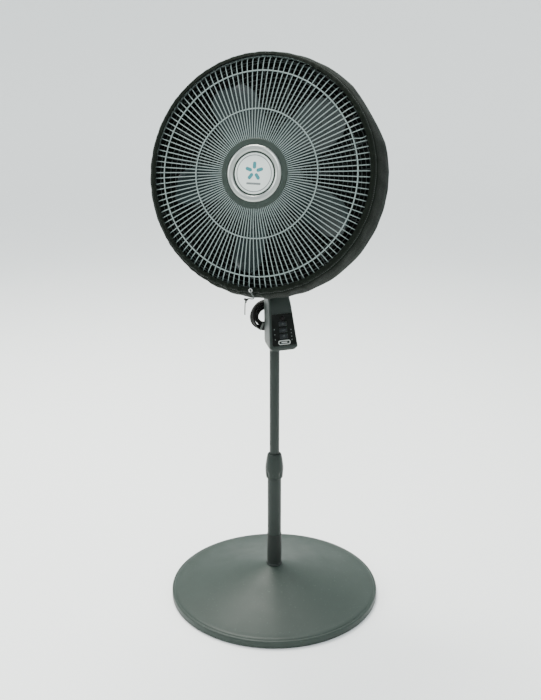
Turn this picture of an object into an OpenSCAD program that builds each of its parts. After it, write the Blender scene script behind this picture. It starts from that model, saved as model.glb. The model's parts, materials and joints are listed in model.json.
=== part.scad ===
// Pedestal fan with a remote-style control neck, a wire guard and a slip-on
// fabric filter cover. Millimetres, +Z up, the control panel faces -Y.

/* [Stand] */
// Outer radius of the round base
base_r = 243; // [215:1:260]
// Height of the base's upright rim
base_rim_h = 18; // [14:1:26]
// Height of the base cover where the pole stands on it
base_peak_z = 71; // [50:1:85]
// Outer radius of the lower pole
lower_r = 15.9; // [15.9]
// Height of the lower pole's top end
lower_top_z = 340; // [320:1:360]
// Outer radius of the upper pole
upper_r = 11.1; // [11.1]
// Height of the upper pole's lower end
upper_low_z = 245; // [225:1:255]

/* [Neck] */
// Height of the control housing's underside
neck_z = 620; // [600:1:635]
// Width of the control housing at its foot
neck_w = 64; // [60:1:70]
// Backward slant of the control panel in degrees
panel_slant = 16.3; // [12:0.1:18]

/* [Head] */
// Height of the tilt hinge
tilt_z = 893; // [880:1:910]
// Distance from the tilt hinge up to the fan's axis
head_h = 85; // [85:1:95]
// Distance of the tilt hinge in front of the motor's middle
hinge_fwd = 5; // [3:1:8]
// Upward tilt of the head as it stands
tilt_rest = 12.5; // [0:0.5:20]
// Turn of the head as it stands, to the right of the panel's front
osc_rest = -38; // [-45:1:45]
// Radius of the guard's rim wire
guard_r = 234.5; // [234:0.5:236]
// Number of radial wires in the front guard
front_wires = 120; // [60:12:144]
// Number of rings in the rear guard
rear_rings = 17; // [12:1:20]
// Radius of the blades' tips
blade_r = 198; // [185:1:202]
// Number of blades
blade_count = 5; // [3:1:5]
// Outer radius of the fabric cover
cover_r = 249; // [247:0.5:251]

/* [Hidden] */
$fn = 64;

slate = "#4b5551";
base_grey = "#5f6c66";
dark_plastic = "#262b29";
wire_grey = "#9aa6a2";
fabric_black = "#2b2f2b";
steel = "#b6babb";
copper = "#a8602c";
rubber = "#1b1b1b";

wall = 2.4;             // moulded shell
tube_wall = 1.2;        // both poles
slide_gap = 0.05;       // running fit of the upper pole in its bushes
wire_d = 2.2;           // radial guard wires
ring_d = 3;             // guard rings
eps = 0.02;

// ---------------------------------------------------------------- helpers

// Tube standing on z, open at both ends.
module tube(r_out, r_in, z0, z1) {
    translate([0, 0, z0]) difference() {
        cylinder(r = r_out, h = z1 - z0);
        translate([0, 0, -1]) cylinder(r = r_in, h = z1 - z0 + 2);
    }
}

// Cylinder from z0 to z1.
module rod(r, z0, z1) {
    translate([0, 0, z0]) cylinder(r = r, h = z1 - z0);
}

// Children at n equal angles round Z.
module around(n, start = 0) {
    for (i = [0 : n - 1]) rotate([0, 0, start + i * 360 / n]) children();
}

// Closed outline of a strip of width w along the points p.
function unit(v) = v / norm(v);
function along(p, i) = unit(p[min(i + 1, len(p) - 1)] - p[max(i - 1, 0)]);
function side(p, i, s) = p[i] + s * [-along(p, i)[1], along(p, i)[0]];
function strip(p, w) = concat(
    [for (i = [0 : len(p) - 1]) side(p, i, w / 2)],
    [for (i = [len(p) - 1 : -1 : 0]) side(p, i, -w / 2)]
);

// The turning head at rest: children stand upright round the fan's axis, front towards -Y.
module on_yoke() translate([0, 0, tilt_z]) rotate([0, 0, osc_rest]) children();
module on_head() on_yoke() rotate([-tilt_rest, 0, 0]) translate([0, hinge_fwd, head_h]) children();
// The same with Z along the fan's axis, out of the front: X right, Y up.
module on_axis() on_head() rotate([90, 0, 0]) children();

// ---------------------------------------------------------------- base

// Height of the base cover's top at radius r: a shallow cone, steeper near the pole.
edge_r = base_r - 9;
function base_top(r) = base_rim_h + 2 + (base_peak_z - base_rim_h - 2)
    * pow(max(0, (edge_r - r) / (edge_r - 18)), 1.25);
base_radii = [for (i = [0 : 9]) edge_r - i * (edge_r - 18) / 9];

module base_cover() color(base_grey) rotate_extrude($fn = 128) polygon(concat(
    [[base_r, 1.2], [base_r, base_rim_h - 4], [base_r - 1.2, base_rim_h - 1.2], [base_r - 4, base_rim_h]],
    [for (r = base_radii) [r, base_top(r)]],
    [for (i = [9 : -1 : 0]) [base_radii[i], base_top(base_radii[i]) - wall]],
    [[base_r - 4, base_rim_h - wall], [base_r - wall, base_rim_h - 5], [base_r - wall, 1.2]]
));

module base_weight() color("dimgray") rotate_extrude($fn = 96) polygon([
    [26, 5.1], [base_r - 14, 5.1], [base_r - 14, 13], [base_r - 17, 13], [base_r - 17, 8.1], [26, 8.1]
]);

module base_tray() color(dark_plastic) difference() {
    rod(base_r - wall - 0.2, 2.5, 5);
    cylinder(r = 4.3, h = 10);
}

// Six feet, and a cap over the pole's bolt that bears on the floor at the part's origin.
module rubber_feet() color(rubber) {
    around(6, 30) translate([base_r - 30, 0, 0]) cylinder(r1 = 8, r2 = 9, h = 2.5);
    difference() {
        rod(12, 0, 2.5);
        translate([0, 0, 0.5]) cylinder(r = 7.2, h = 3);
    }
}

module base_socket() color(dark_plastic) rotate_extrude() polygon([
    [lower_r + 0.05, 20], [24, 20], [24, 50], [17.7, 60], [17.7, base_peak_z + 0.1], [18.9, base_peak_z + 0.1],
    [18.9, base_peak_z + 2.4], [18, base_peak_z + 3.8], [16.9, base_peak_z + 4.6], [16.9, 150],
    [lower_r + 0.05, 151]
]);

// Bolt, washer and the threaded plug in the pole's foot.
module pole_bolt() color(steel) union() {
    translate([0, 0, 0.6]) cylinder(r = 7, h = 1.9, $fn = 6);
    rod(4, 1, 30);
    rod(13.5, 20, 28);
    rod(lower_r - tube_wall - 0.05, 28, 44);
}

module lower_pole() color(slate) tube(lower_r, lower_r - tube_wall, 28, lower_top_z);

module collet() color(dark_plastic) difference() {
    union() {
        rod(lower_r - tube_wall - 0.05, lower_top_z - 36, lower_top_z);
        rod(lower_r, lower_top_z, lower_top_z + 4);
    }
    translate([0, 0, lower_top_z - 40]) cylinder(r = upper_r + slide_gap, h = 60);
    around(4) translate([lower_r - 4, 0, lower_top_z + 2]) cube([12, 1.6, 30], center = true);
}

// ---------------------------------------------------------------- height collar

collar_z = lower_top_z - 45;
module height_collar() color(slate) difference() {
    rotate_extrude() polygon([
        [17.3, collar_z], [19.4, collar_z + 3], [20.8, collar_z + 12], [21, collar_z + 20],
        [20.3, collar_z + 32], [18.6, collar_z + 45], [17, collar_z + 54], [15.6, collar_z + 58.5],
        [14.2, collar_z + 60], [13.2, collar_z + 59], [12.6, collar_z + 57], [11.7, collar_z + 56],
        [11.7, collar_z + 50], [lower_r + 0.1, collar_z + 50], [lower_r + 0.1, collar_z]
    ]);
    around(8, 22.5) translate([25.5, 0, collar_z + 11]) cylinder(r = 6, h = 14, center = true);
}

// ---------------------------------------------------------------- upper pole and neck

module upper_pole() color(slate) tube(upper_r, upper_r - tube_wall, upper_low_z, neck_z + 92);

module glide_bush() color(dark_plastic)
    tube(lower_r - tube_wall - 0.1, upper_r + 0.01, upper_low_z, upper_low_z + 30);

stem_top_z = tilt_z - 35;
gear_m = 0.6;
gear_teeth = 30;
pinion_teeth = 10;
gear_seat_r = 5;
gear_space = gear_m * (gear_teeth + pinion_teeth) / 2 + 0.1;
gear_z = tilt_z - 87;
post_z = neck_z + 98;       // top of the pole's socket in the core

// Socket for the pole below and seat for the swivel bush above, joined by a post and two arms.
module neck_core() color("#3a3f3d") union() {
    difference() {
        rod(13.4, neck_z + 3, post_z);
        translate([0, 0, neck_z - 1]) cylinder(r = upper_r + 0.01, h = 93);
    }
    translate([-12, -8, post_z - eps]) cube([24, 16, 62]);
    for (s = [-1, 1]) translate([s * 15.5 - 4.5, -5, neck_z + 148]) cube([9, 10, 7]);
    for (s = [-1, 1]) translate([s * 18.8 - 1.2, -5, neck_z + 148]) cube([2.4, 10, stem_top_z - 20 - neck_z - 148]);
    difference() {
        rod(20, stem_top_z - 22, stem_top_z - 4.1);
        translate([0, 0, stem_top_z - 23]) cylinder(r = 14.02, h = 30);
    }
}

module neck_bush() color("ivory") difference() {
    union() {
        rod(14, stem_top_z - 22, stem_top_z - 4);
        rod(17, stem_top_z - 4, stem_top_z - 0.5);
    }
    translate([0, 0, stem_top_z - 30]) cylinder(r = 10.05, h = 40);
}

// Slice of the control housing at height z, drawn in by t all round: a front of half width w
// at y = -f with corners of radius c, and a back rounded at y = b over a half width of s + 16.
module slice(z, w, f, b, s, c, t) translate([0, 0, z]) linear_extrude(0.1) hull() {
    for (k = [-1, 1]) translate([k * (w - c), c - f]) circle(r = c - t, $fn = 32);
    for (k = [-1, 1]) translate([k * s, b - 16]) circle(r = 16 - t, $fn = 32);
}
// Distance of the slanted front from the pole's axis.
function front(z) = 63.8 - (z - neck_z - 7) * tan(panel_slant);
shoulder_z = neck_z + 98;   // top of the control box, where the stem begins
module neck_form(t) {
    hull() {
        slice(neck_z + t, neck_w / 2 - 4, front(neck_z) - 7, 22, 3, 8, t);
        slice(neck_z + 7, neck_w / 2, front(neck_z + 7), 24, 4, 6, t);
        slice(shoulder_z, 25, front(shoulder_z), 25.5, 4.5, 6, t);
    }
    hull() {
        slice(shoulder_z, 25, front(shoulder_z), 25.5, 4.5, 6, t);
        slice(shoulder_z + 27, 23.5, 25.5, 25.5, 6, 14, t);
    }
    hull() {
        slice(shoulder_z + 27, 23.5, 25.5, 25.5, 6, 14, t);
        slice(stem_top_z - 4, 24.5, 24.5, 25, 8.5, 17, t);
        slice(stem_top_z - t - 0.1, 23, 23, 23.5, 7, 17, t);
    }
}
module neck_shell() difference() {
    neck_form(0);
    neck_form(wall);
    translate([0, 0, stem_top_z - 10]) cylinder(r = 17.2, h = 20);
    translate([0, 0, neck_z - 5]) cylinder(r = upper_r + 0.3, h = 20);
    // window behind the panel
    on_panel() translate([0, 0, -6]) linear_extrude(20) offset(2, $fn = 24) square([41, 58], center = true);
}
seam_y = 2;
module housing_front() color(slate) intersection() {
    neck_shell();
    translate([-60, -80, neck_z - 10]) cube([120, 80 + seam_y - 0.05, 300]);
}
module housing_rear() color(slate) difference() {
    neck_shell();
    translate([-60, -80, neck_z - 10]) cube([120, 80 + seam_y + 0.05, 300]);
    // outlet of the mains lead
    on_gland() translate([0, 0, -15]) cylinder(r = 5.55, h = 30);
}
screw_z = [neck_z + 16, neck_z + 112];
module housing_screws() color(steel) for (z = screw_z)
    translate([0, 25.6, z]) rotate([90, 0, 0]) union() {
        cylinder(r = 3, h = 1.6);
        cylinder(r = 1.5, h = 9);
    }

// Frame of the control panel: X right, Y up the slanted face, Z out of it.
panel_z = neck_z + 45;
module on_panel() translate([0, -front(panel_z), panel_z]) rotate([90 - panel_slant, 0, 0]) children();

// The panel tapers towards its top.
module panel_plan() offset(3, $fn = 24) polygon([[-24, -31], [24, -31], [20.5, 31], [-20.5, 31]]);

key_w = 18;
key_h = 9;
key_y = [12.6, -0.8, -14.2];
key_travel = 1;
receiver_y = 24.5;
trim_y = -27.2;
module key(i) on_panel() translate([0, key_y[i], -2.2]) {
    linear_extrude(4.2) offset(1.2, $fn = 24) square([key_w - 2.4, key_h - 2.4], center = true);
    translate([0, 0, -1.2]) linear_extrude(1.2 + eps) square([key_w + 2, key_h + 1.5], center = true);
}
module panel_overlay() color(dark_plastic) on_panel() difference() {
    translate([0, 0, 0.1]) linear_extrude(1.2) panel_plan();
    for (y = key_y) translate([0, y, -2]) linear_extrude(5) offset(1.4, $fn = 24)
        square([key_w - 2.2, key_h - 2.2], center = true);
    translate([0, receiver_y, -2]) cylinder(r = 5.6, h = 5);
    for (p = lamp_places) translate([p[0], p[1], -2]) cylinder(r = 1.25, h = 5);
    translate([0, trim_y, 0.8]) linear_extrude(2) oval(28.4, 10.4);
}
module power_button() color("#343a3e") key(0);
module speed_button() color("#343a3e") key(1);
module timer_button() color("#343a3e") key(2);

// Three lamps down the left side and four down the right.
lamp_places = concat([for (i = [0 : 2]) [-20, 2 - i * 11]], [for (i = [0 : 3]) [17.8, -1 - i * 7.3]]);
module indicator_lenses() color("#8a9290") on_panel() for (p = lamp_places)
    translate([p[0], p[1], -1.5]) cylinder(r = 1.2, h = 3.1);
module receiver_lens() color("#120d0d") on_panel() translate([0, receiver_y, -1]) cylinder(r1 = 5.5, r2 = 5, h = 2.6);

// Oval of overall width w and height h.
module oval(w, h) hull() for (s = [-1, 1]) translate([s * (w - h) / 2, 0]) circle(r = h / 2, $fn = 32);
module panel_trim() color("#8d9492") on_panel() translate([0, trim_y, 0.8]) difference() {
    linear_extrude(1.6) oval(28, 10);
    translate([0, 0, 0.6]) linear_extrude(2) oval(24, 6);
}

// Board with a small switch under each button.
module circuit_board() color("darkgreen") on_panel() {
    translate([-20, -29, -8]) cube([40, 58, 1.6]);
    for (y = key_y) translate([-3, y - 3, -6.4 - eps]) cube([6, 6, 1.9]);
}

module oscillation_motor() color("silver") translate([0, -gear_space, 0]) difference() {
    rod(9, gear_z - 21, gear_z - 5);
    rod(1.25, gear_z - 12, gear_z);
}

// Spur wheel with straight-sided teeth, slim enough to run with backlash.
function tooth_ring(n, m) = [for (i = [0 : n - 1]) for (q = [
    [-0.30, m * n / 2 - 1.15 * m], [-0.15, m * n / 2 + 0.85 * m],
    [0.15, m * n / 2 + 0.85 * m], [0.30, m * n / 2 - 1.15 * m]
]) q[1] * [cos((i + q[0]) * 360 / n), sin((i + q[0]) * 360 / n)]];
module drive_pinion() color("ivory") translate([0, -gear_space, gear_z]) union() {
    linear_extrude(8) rotate([0, 0, 90 + 180 / pinion_teeth]) polygon(tooth_ring(pinion_teeth, gear_m));
    rod(1.2, -10, eps);
}
module swivel_gear() color("ivory") on_yoke() translate([0, 0, gear_z - tilt_z]) difference() {
    linear_extrude(6) rotate([0, 0, -90 - osc_rest]) polygon(tooth_ring(gear_teeth, gear_m));
    translate([0, 0, -1]) cylinder(r = gear_seat_r, h = 10);
}

// ---------------------------------------------------------------- mains lead

cord_d = 5;
gland_z = neck_z + 146;
gland_drop = 58;                    // how steeply the lead leaves, in degrees below level
coil_c = [-8, 39, neck_z + 54];     // middle of the tied coil, which hangs flat behind the neck
coil_r = 26;                        // radius at the middle of its turns
coil_w = 16;                        // width of the winding outwards
coil_t = 16;                        // depth of the winding along Y
// Route from the strain relief to the coil's side, and from the coil's top to the plug.
lead_in = [
    [0, 43.7, 731.2], [0.4, 45.9, 727.6], [1.8, 48.2, 723.2], [4.6, 50.2, 716.8], [8.6, 51, 709.4],
    [13, 50.8, 702], [17.2, 49.8, 694.6], [20.6, 48, 687], [22.8, 45.8, 680.5], [23.5, 44.5, 674]
];
lead_out = [
    [-8, 33.5, 705.5], [0, 33, 704.9], [8, 32.2, 703], [16, 31.6, 699], [23, 31.2, 693.4], [29, 31, 686.4],
    [33.4, 31, 679], [36, 31, 671], [37, 31, 663]
];

module on_gland() translate([0, 22, gland_z]) rotate([-90 - gland_drop, 0, 0]) children();
// Collar in the housing's wall and a tapered strain relief.
module cord_gland() color(rubber) on_gland() difference() {
    union() {
        rod(5.5, -4, 8);
        translate([0, 0, 8 - eps]) cylinder(r1 = 7, r2 = 6.4, h = 3);
        translate([0, 0, 11 - 2 * eps]) cylinder(r1 = 4.6, r2 = 3.5, h = 30);
    }
    translate([0, 0, -5]) cylinder(r = cord_d / 2 + 0.05, h = 60);
}

// Sweep of a round cord of diameter d along p: rings of n points square to the route.
function across(t) = unit(cross(t, abs(t[1]) > 0.9 ? [0, 0, 1] : [0, 1, 0]));
function cord_ring(p, i, d, n) =
    let (t = along(p, i), u = across(t), v = cross(t, u))
    [for (k = [0 : n - 1]) p[i] + d / 2 * (u * cos(k * 360 / n) + v * sin(k * 360 / n))];
module cord_tube(p, d, n = 8) polyhedron(
    points = [for (i = [0 : len(p) - 1]) each cord_ring(p, i, d, n)],
    faces = concat(
        [[for (k = [0 : n - 1]) k]],
        [for (i = [0 : len(p) - 2], k = [0 : n - 1])
            [i * n + k, (i + 1) * n + k, (i + 1) * n + (k + 1) % n, i * n + (k + 1) % n]],
        [[for (k = [n - 1 : -1 : 0]) (len(p) - 1) * n + k]]
    )
);
// Points spaced more closely along the route, on a smooth curve through p.
function spline_point(p, i, t) =
    let (a = p[max(i - 1, 0)], b = p[i], c = p[i + 1], d = p[min(i + 2, len(p) - 1)])
    0.5 * ((2 * b) + (c - a) * t + (2 * a - 5 * b + 4 * c - d) * t * t + (3 * b - a - 3 * c + d) * t * t * t);
function smooth_route(p, n) = concat(
    [for (i = [0 : len(p) - 2], k = [0 : n - 1]) spline_point(p, i, k / n)], [p[len(p) - 1]]
);
module power_cord() color(rubber) {
    cord_tube(smooth_route(lead_in, 2), cord_d);
    cord_tube(smooth_route(lead_out, 2), cord_d);
}
module cord_coil() color(rubber) translate(coil_c) rotate([90, 0, 0]) rotate_extrude()
    translate([coil_r, 0]) offset(4, $fn = 24) square([coil_w - 8, coil_t - 8], center = true);
module cord_tie() color("#6f7472") translate(coil_c) rotate([0, -65, 0]) translate([-coil_r, 0, 0])
    linear_extrude(5, center = true) difference() {
        offset(3.4, $fn = 24) square([coil_w - 4, coil_t - 4], center = true);
        offset(2.4, $fn = 24) square([coil_w - 4, coil_t - 4], center = true);
    }
plug_place = [37, 31, 661];
module plug_body() color(rubber) translate(plug_place) hull() {
    translate([0, 0, -5]) cylinder(r = 4, h = 1);
    translate([-9, -5, -26]) cube([18, 10, 12]);
}
module plug_blades() color("#b08d3c") translate(plug_place)
    for (s = [-1, 1]) translate([s * 6.35 - 0.75, -3.2, -43]) cube([1.5, 6.4, 17]);

// ---------------------------------------------------------------- swivel and tilt

module swivel_yoke() color("#3a3f3d") on_yoke() union() {
    rod(23, -33, -25);
    rod(gear_seat_r, -90, -70);
    rod(10, -70 - eps, -33);
    for (s = [-1, 1]) difference() {
        translate([s * 15.5 - 3.5, -13, -25 - eps]) cube([7, 26, 25]);
        rotate([0, 90, 0]) translate([0, 0, -40]) cylinder(r = 4.05, h = 80);
    }
    for (s = [-1, 1]) translate([s * 15.5 - 3.5, 0, 0]) rotate([0, 90, 0]) difference() {
        cylinder(r = 13, h = 7);
        translate([0, 0, -1]) cylinder(r = 4.05, h = 9);
    }
}
module tilt_pin() color(steel) on_yoke() rotate([0, 90, 0]) union() {
    rod(4, -26, 26);
    translate([0, 0, -31]) cylinder(r = 7.5, h = 5, $fn = 6);
}
module tilt_knob() color(dark_plastic) on_yoke() rotate([0, 90, 0]) difference() {
    union() {
        rod(9, 19.3, 23);
        rod(16, 23, 35);
    }
    translate([0, 0, 18]) cylinder(r = 4.05, h = 10);
    around(10) translate([19.5, 0, 29]) cylinder(r = 4.6, h = 20, center = true);
}

// Clamp round the stator with a lug down to the tilt pin.
module motor_cradle() color("#3a3f3d") on_axis() difference() {
    union() {
        tube(52, 45.3, -18, 16);
        translate([-11.5, -head_h, hinge_fwd - 13]) cube([23, head_h - 48, 26]);
        translate([-11.5, -head_h, hinge_fwd]) rotate([0, 90, 0]) cylinder(r = 13, h = 23);
    }
    translate([-30, -head_h, hinge_fwd]) rotate([0, 90, 0]) cylinder(r = 4.05, h = 60);
}

// ---------------------------------------------------------------- motor

module stator_core() color("slategray") on_axis() difference() {
    tube(45.2, 27.4, -18, 16);
    around(12) translate([33.5, 0, -20]) cylinder(r = 3, h = 40);
}
module stator_windings() color(copper) on_axis() for (z = [20.6, -22.6]) translate([0, 0, z])
    rotate_extrude() translate([34, 0]) circle(r = 4.4, $fn = 32);
module front_bell() color(steel) on_axis() difference() {
    union() {
        rod(54, 26, 30);
        rod(22.5, 30, 52);
    }
    translate([0, 0, 20]) cylinder(r = 8, h = 40);
}
module rear_bell() color(steel) on_axis() difference() {
    union() {
        rod(50, -32, -28);
        rod(16, -44, -32);
    }
    translate([0, 0, -60]) cylinder(r = 8, h = 40);
}
module motor_bearings() color("#a98743") on_axis() {
    tube(7.99, 4.03, 36, 50);
    tube(7.99, 4.03, -43, -30);
}
shell_r = 60;
module motor_shell() color(slate) on_axis() difference() {
    rotate_extrude() polygon([
        [23, 40], [50, 40], [57, 37.5], [shell_r, 31], [shell_r, -24], [shell_r - wall, -24],
        [shell_r - wall, 30], [55.6, 35.4], [49, 37.6], [23, 37.6]
    ]);
    translate([-13.5, -80, hinge_fwd - 16]) cube([27, 40, 32]);
}
module motor_cap() color(slate) on_axis() difference() {
    rotate_extrude() polygon([
        [shell_r, -24.1], [shell_r - 1, -48], [shell_r - 6, -66], [shell_r - 16, -78], [30, -84], [0, -86],
        [0, -83.6], [30, -81.6], [shell_r - 17, -75.8], [shell_r - 8.2, -64.6], [shell_r - 3.4, -47.6],
        [shell_r - wall, -24.1]
    ]);
    for (i = [-4 : 4]) translate([i * 8 - 1.6, -32, -95]) cube([3.2, 64, 40]);
}

module motor_shaft() color(steel) on_axis() rod(4, -46, hub_z + 45);
module rotor_core() color("silver") on_axis() tube(26.7, 4, -18, 16);

// ---------------------------------------------------------------- impeller

hub_r = 37;
hub_z = 70;             // rear end of the hub along the fan's axis
blade_z = hub_z + 19;
// A blade's half chord and pitch at radius r: broad and steep near the middle, rounded at the tip.
function blade_u(r) = min(1, max(0, (r - hub_r) / (blade_r - hub_r)));
function half_chord(r) = let (u = blade_u(r))
    (u < 0.5 ? 25 + 28 * sin(180 * u) : 53 - 8 * (u - 0.5)) * sqrt(1 - 0.72 * pow(max(0, u - 0.8) / 0.2, 2));
function pitch(r) = 47 - 15 * blade_u(r);
blade_t = 2.4;
stations = [for (i = [0 : 8]) hub_r - 2 + i * (blade_r - hub_r + 2) / 8];
// Point of the blade at radius r, s from -1 (leading edge, at the rear) to 1 (trailing), on face k.
function blade_point(r, s, k) =
    let (c = half_chord(r), a = s * c * cos(pitch(r)) / r * 180 / PI,
         h = s * c * sin(pitch(r)) - 6 * (1 - s * s) * blade_u(r))
    [r * cos(a), r * sin(a), blade_z + h + k * blade_t / 2 * (1 - 0.5 * s * s)];
chord_steps = 6;
module blade() {
    n = len(stations);
    m = chord_steps + 1;
    pts = [for (k = [-1, 1], i = [0 : n - 1], j = [0 : m - 1])
        blade_point(stations[i], -1 + 2 * j / chord_steps, k)];
    function at(k, i, j) = k * n * m + i * m + j;
    polyhedron(points = pts, faces = concat(
        [for (i = [0 : n - 2], j = [0 : m - 2]) each
            [[at(1, i, j), at(1, i + 1, j + 1), at(1, i + 1, j)], [at(1, i, j), at(1, i, j + 1), at(1, i + 1, j + 1)]]],
        [for (i = [0 : n - 2], j = [0 : m - 2]) each
            [[at(0, i, j), at(0, i + 1, j), at(0, i + 1, j + 1)], [at(0, i, j), at(0, i + 1, j + 1), at(0, i, j + 1)]]],
        [for (i = [0 : n - 2]) each
            [[at(0, i, 0), at(1, i, 0), at(1, i + 1, 0)], [at(0, i, 0), at(1, i + 1, 0), at(0, i + 1, 0)],
             [at(0, i, m - 1), at(1, i + 1, m - 1), at(1, i, m - 1)],
             [at(0, i, m - 1), at(0, i + 1, m - 1), at(1, i + 1, m - 1)]]],
        [for (j = [0 : m - 2]) each
            [[at(0, 0, j), at(1, 0, j + 1), at(1, 0, j)], [at(0, 0, j), at(0, 0, j + 1), at(1, 0, j + 1)],
             [at(0, n - 1, j), at(1, n - 1, j), at(1, n - 1, j + 1)],
             [at(0, n - 1, j), at(1, n - 1, j + 1), at(0, n - 1, j + 1)]]]
    ));
}
module impeller() color("#8d9a98", 0.85) on_axis() difference() {
    union() {
        difference() {
            rod(hub_r, hub_z, hub_z + 38);
            rod(hub_r - wall, hub_z - 1, hub_z + 35.6);
        }
        rod(10, hub_z, hub_z + 36);
        around(blade_count, 45) blade();
    }
    rod(4, hub_z - 1, hub_z + 40);
}
module spinner_nut() color(dark_plastic) on_axis() translate([0, 0, hub_z + 38]) difference() {
    union() {
        rod(11, 0, 10);
        rod(15, 0, 3);
    }
    rod(4, -1, 7);
}

// ---------------------------------------------------------------- guard

module guard_nut() color(dark_plastic) on_axis() difference() {
    rod(34, 44, 51);
    translate([0, 0, 40]) cylinder(r = 22.55, h = 20);
    around(6) translate([36, 0, 48]) cylinder(r = 5, h = 20, center = true);
}

rim_z = 104;            // rear face of the rim clip along the fan's axis
face_z = 153;           // back of the badge in the middle of the front guard
front_line = [
    [65, face_z + 2], [100, face_z - 1.5], [127, face_z - 6], [165, face_z - 12.5], [203, face_z - 21],
    [222, face_z - 25.5], [229.6, face_z - 31], [232.6, rim_z + 12], [guard_r - 1.1, rim_z + 6]
];
rear_line = [
    [58, 43], [110, 43.4], [160, 45], [205, 49], [222, 57], [231, 72], [guard_r - 1.1, rim_z + 3]
];

// Height of a guard's wires at radius r, along the points p.
function level(p, r, i = 0) = i >= len(p) - 2 || r <= p[i + 1][0]
    ? p[i][1] + (r - p[i][0]) * (p[i + 1][1] - p[i][1]) / (p[i + 1][0] - p[i][0]) : level(p, r, i + 1);

module wire_fan(n, p, start = 0) around(n, start) rotate([90, 0, 0])
    translate([0, 0, -wire_d / 2]) linear_extrude(wire_d) polygon(strip(p, wire_d));
module wire_ring(r, z) rotate_extrude($fn = 128) translate([r, z]) square([ring_d, ring_d], center = true);

module front_guard() color(wire_grey) on_axis() union() {
    wire_fan(front_wires, front_line, 1.5);
    wire_ring(67, level(front_line, 67) - 1.6);
    for (r = [127, 203]) wire_ring(r, level(front_line, r) + 1.6);
    wire_ring(guard_r, rim_z + 7);
}
module rear_guard() color(wire_grey) on_axis() union() {
    wire_fan(24, rear_line, 7.5);
    for (i = [0 : rear_rings - 1]) let (r = 66 + i * 9.7) wire_ring(r, level(rear_line, r) + 1.6);
    wire_ring(guard_r, rim_z + 3);
    tube(62, 22.6, 42, 44);
}
module guard_rim() color(dark_plastic) on_axis() translate([0, 0, rim_z]) rotate_extrude($fn = 128) polygon([
    [235.2, 0], [238.6, 0], [238.6, 10.4], [235.2, 10.4], [235.2, 9.2], [237.2, 9.2], [237.2, 1.2], [235.2, 1.2]
]);

module on_face() on_axis() translate([0, 0, face_z]) children();
module badge_dish() color("#414b47") on_face() rotate_extrude() polygon([
    [0, 0], [64, 0], [64, 3.2], [68, 3.4], [68.6, 4.4], [67.6, 5.4], [56.5, 6.2],
    [56.5, 3.6], [43.2, 3.6], [43.2, 6.2], [40.4, 6.2], [40.4, 2.4], [0, 2.4]
]);
module badge_ring() color("silver") on_face() rotate_extrude() polygon([
    [43.3, 3.7], [56.4, 3.7], [56.4, 5.6], [54.6, 8], [51, 9.4], [47.4, 9], [44.6, 7.6], [43.3, 6]
]);
module badge_disc() color("whitesmoke") on_face() rod(40.2, 2.5, 6);

// ---------------------------------------------------------------- fabric cover

cloth = 1.5;
back_z = 35;
cover_line = [
    [226, 132.4], [232, 130.6], [238.6, 125], [242.6, 116], [245, 104], [cover_r - 1.2, 86],
    [cover_r - 0.75, 66], [cover_r - 1.6, 54], [244, 44.5], [236, 38.6], [228, 37]
];
module cover_band() color(fabric_black) on_axis() rotate_extrude($fn = 128) polygon(strip(cover_line, cloth));
module cover_back() color("#15180f") on_axis() rotate_extrude($fn = 128) polygon(strip(
    [[67, back_z], [120, back_z], [180, back_z + 0.6], [225, back_z + 1]], cloth
));
module cover_elastic() color(fabric_black) on_axis() tube(66.9, 60.3, back_z - 2.5, back_z + 1.5);

// Drawstring ends at the foot of the front hem.
string_d = 2.4;
string_a = -97;     // where the ends leave the hem, degrees round the fan's axis from +X
module on_string() on_axis() rotate([0, 0, string_a + 90]) translate([0, -231, 135.4]) children();
module string_eyelet() color(steel) on_string() tube(4.4, 2, -2.2, -0.6);
string_route = [
    [0, 0, 0.8], [2.6, -5.6, 0.6], [6.2, -10.8, -0.8], [10.4, -14.4, -2], [14.4, -17.4, -3], [16.4, -21, -3.9],
    [15.4, -24.6, -4.7], [11.8, -26.4, -5.1], [6, -26.2, -5.2], [0, -25.4, -5.2], [-5.4, -26, -5.4],
    [-9.2, -29, -6.2], [-11, -34, -7.4], [-11.6, -42, -9.2], [-11.8, -50, -11], [-11.8, -58, -12.8]
];
module drawstring() color(rubber) on_string() cord_tube(smooth_route(string_route, 2), string_d);

base_cover();
base_weight();
base_tray();
rubber_feet();
base_socket();
pole_bolt();
lower_pole();
collet();
height_collar();
upper_pole();
glide_bush();
neck_core();
housing_front();
housing_rear();
housing_screws();
panel_overlay();
panel_trim();
receiver_lens();
indicator_lenses();
circuit_board();
power_button();
speed_button();
timer_button();
oscillation_motor();
drive_pinion();
neck_bush();
cord_gland();
power_cord();
cord_coil();
cord_tie();
plug_body();
plug_blades();
swivel_yoke();
swivel_gear();
tilt_pin();
tilt_knob();
motor_cradle();
stator_core();
stator_windings();
front_bell();
rear_bell();
motor_bearings();
motor_shell();
motor_cap();
motor_shaft();
rotor_core();
impeller();
spinner_nut();
guard_nut();
rear_guard();
front_guard();
guard_rim();
badge_dish();
badge_ring();
badge_disc();
cover_band();
cover_back();
cover_elastic();
drawstring();
string_eyelet();
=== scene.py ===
"""Pedestal fan with a key panel on its neck, a wire guard and a slip-on fabric filter cover."""
import json
import math

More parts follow.
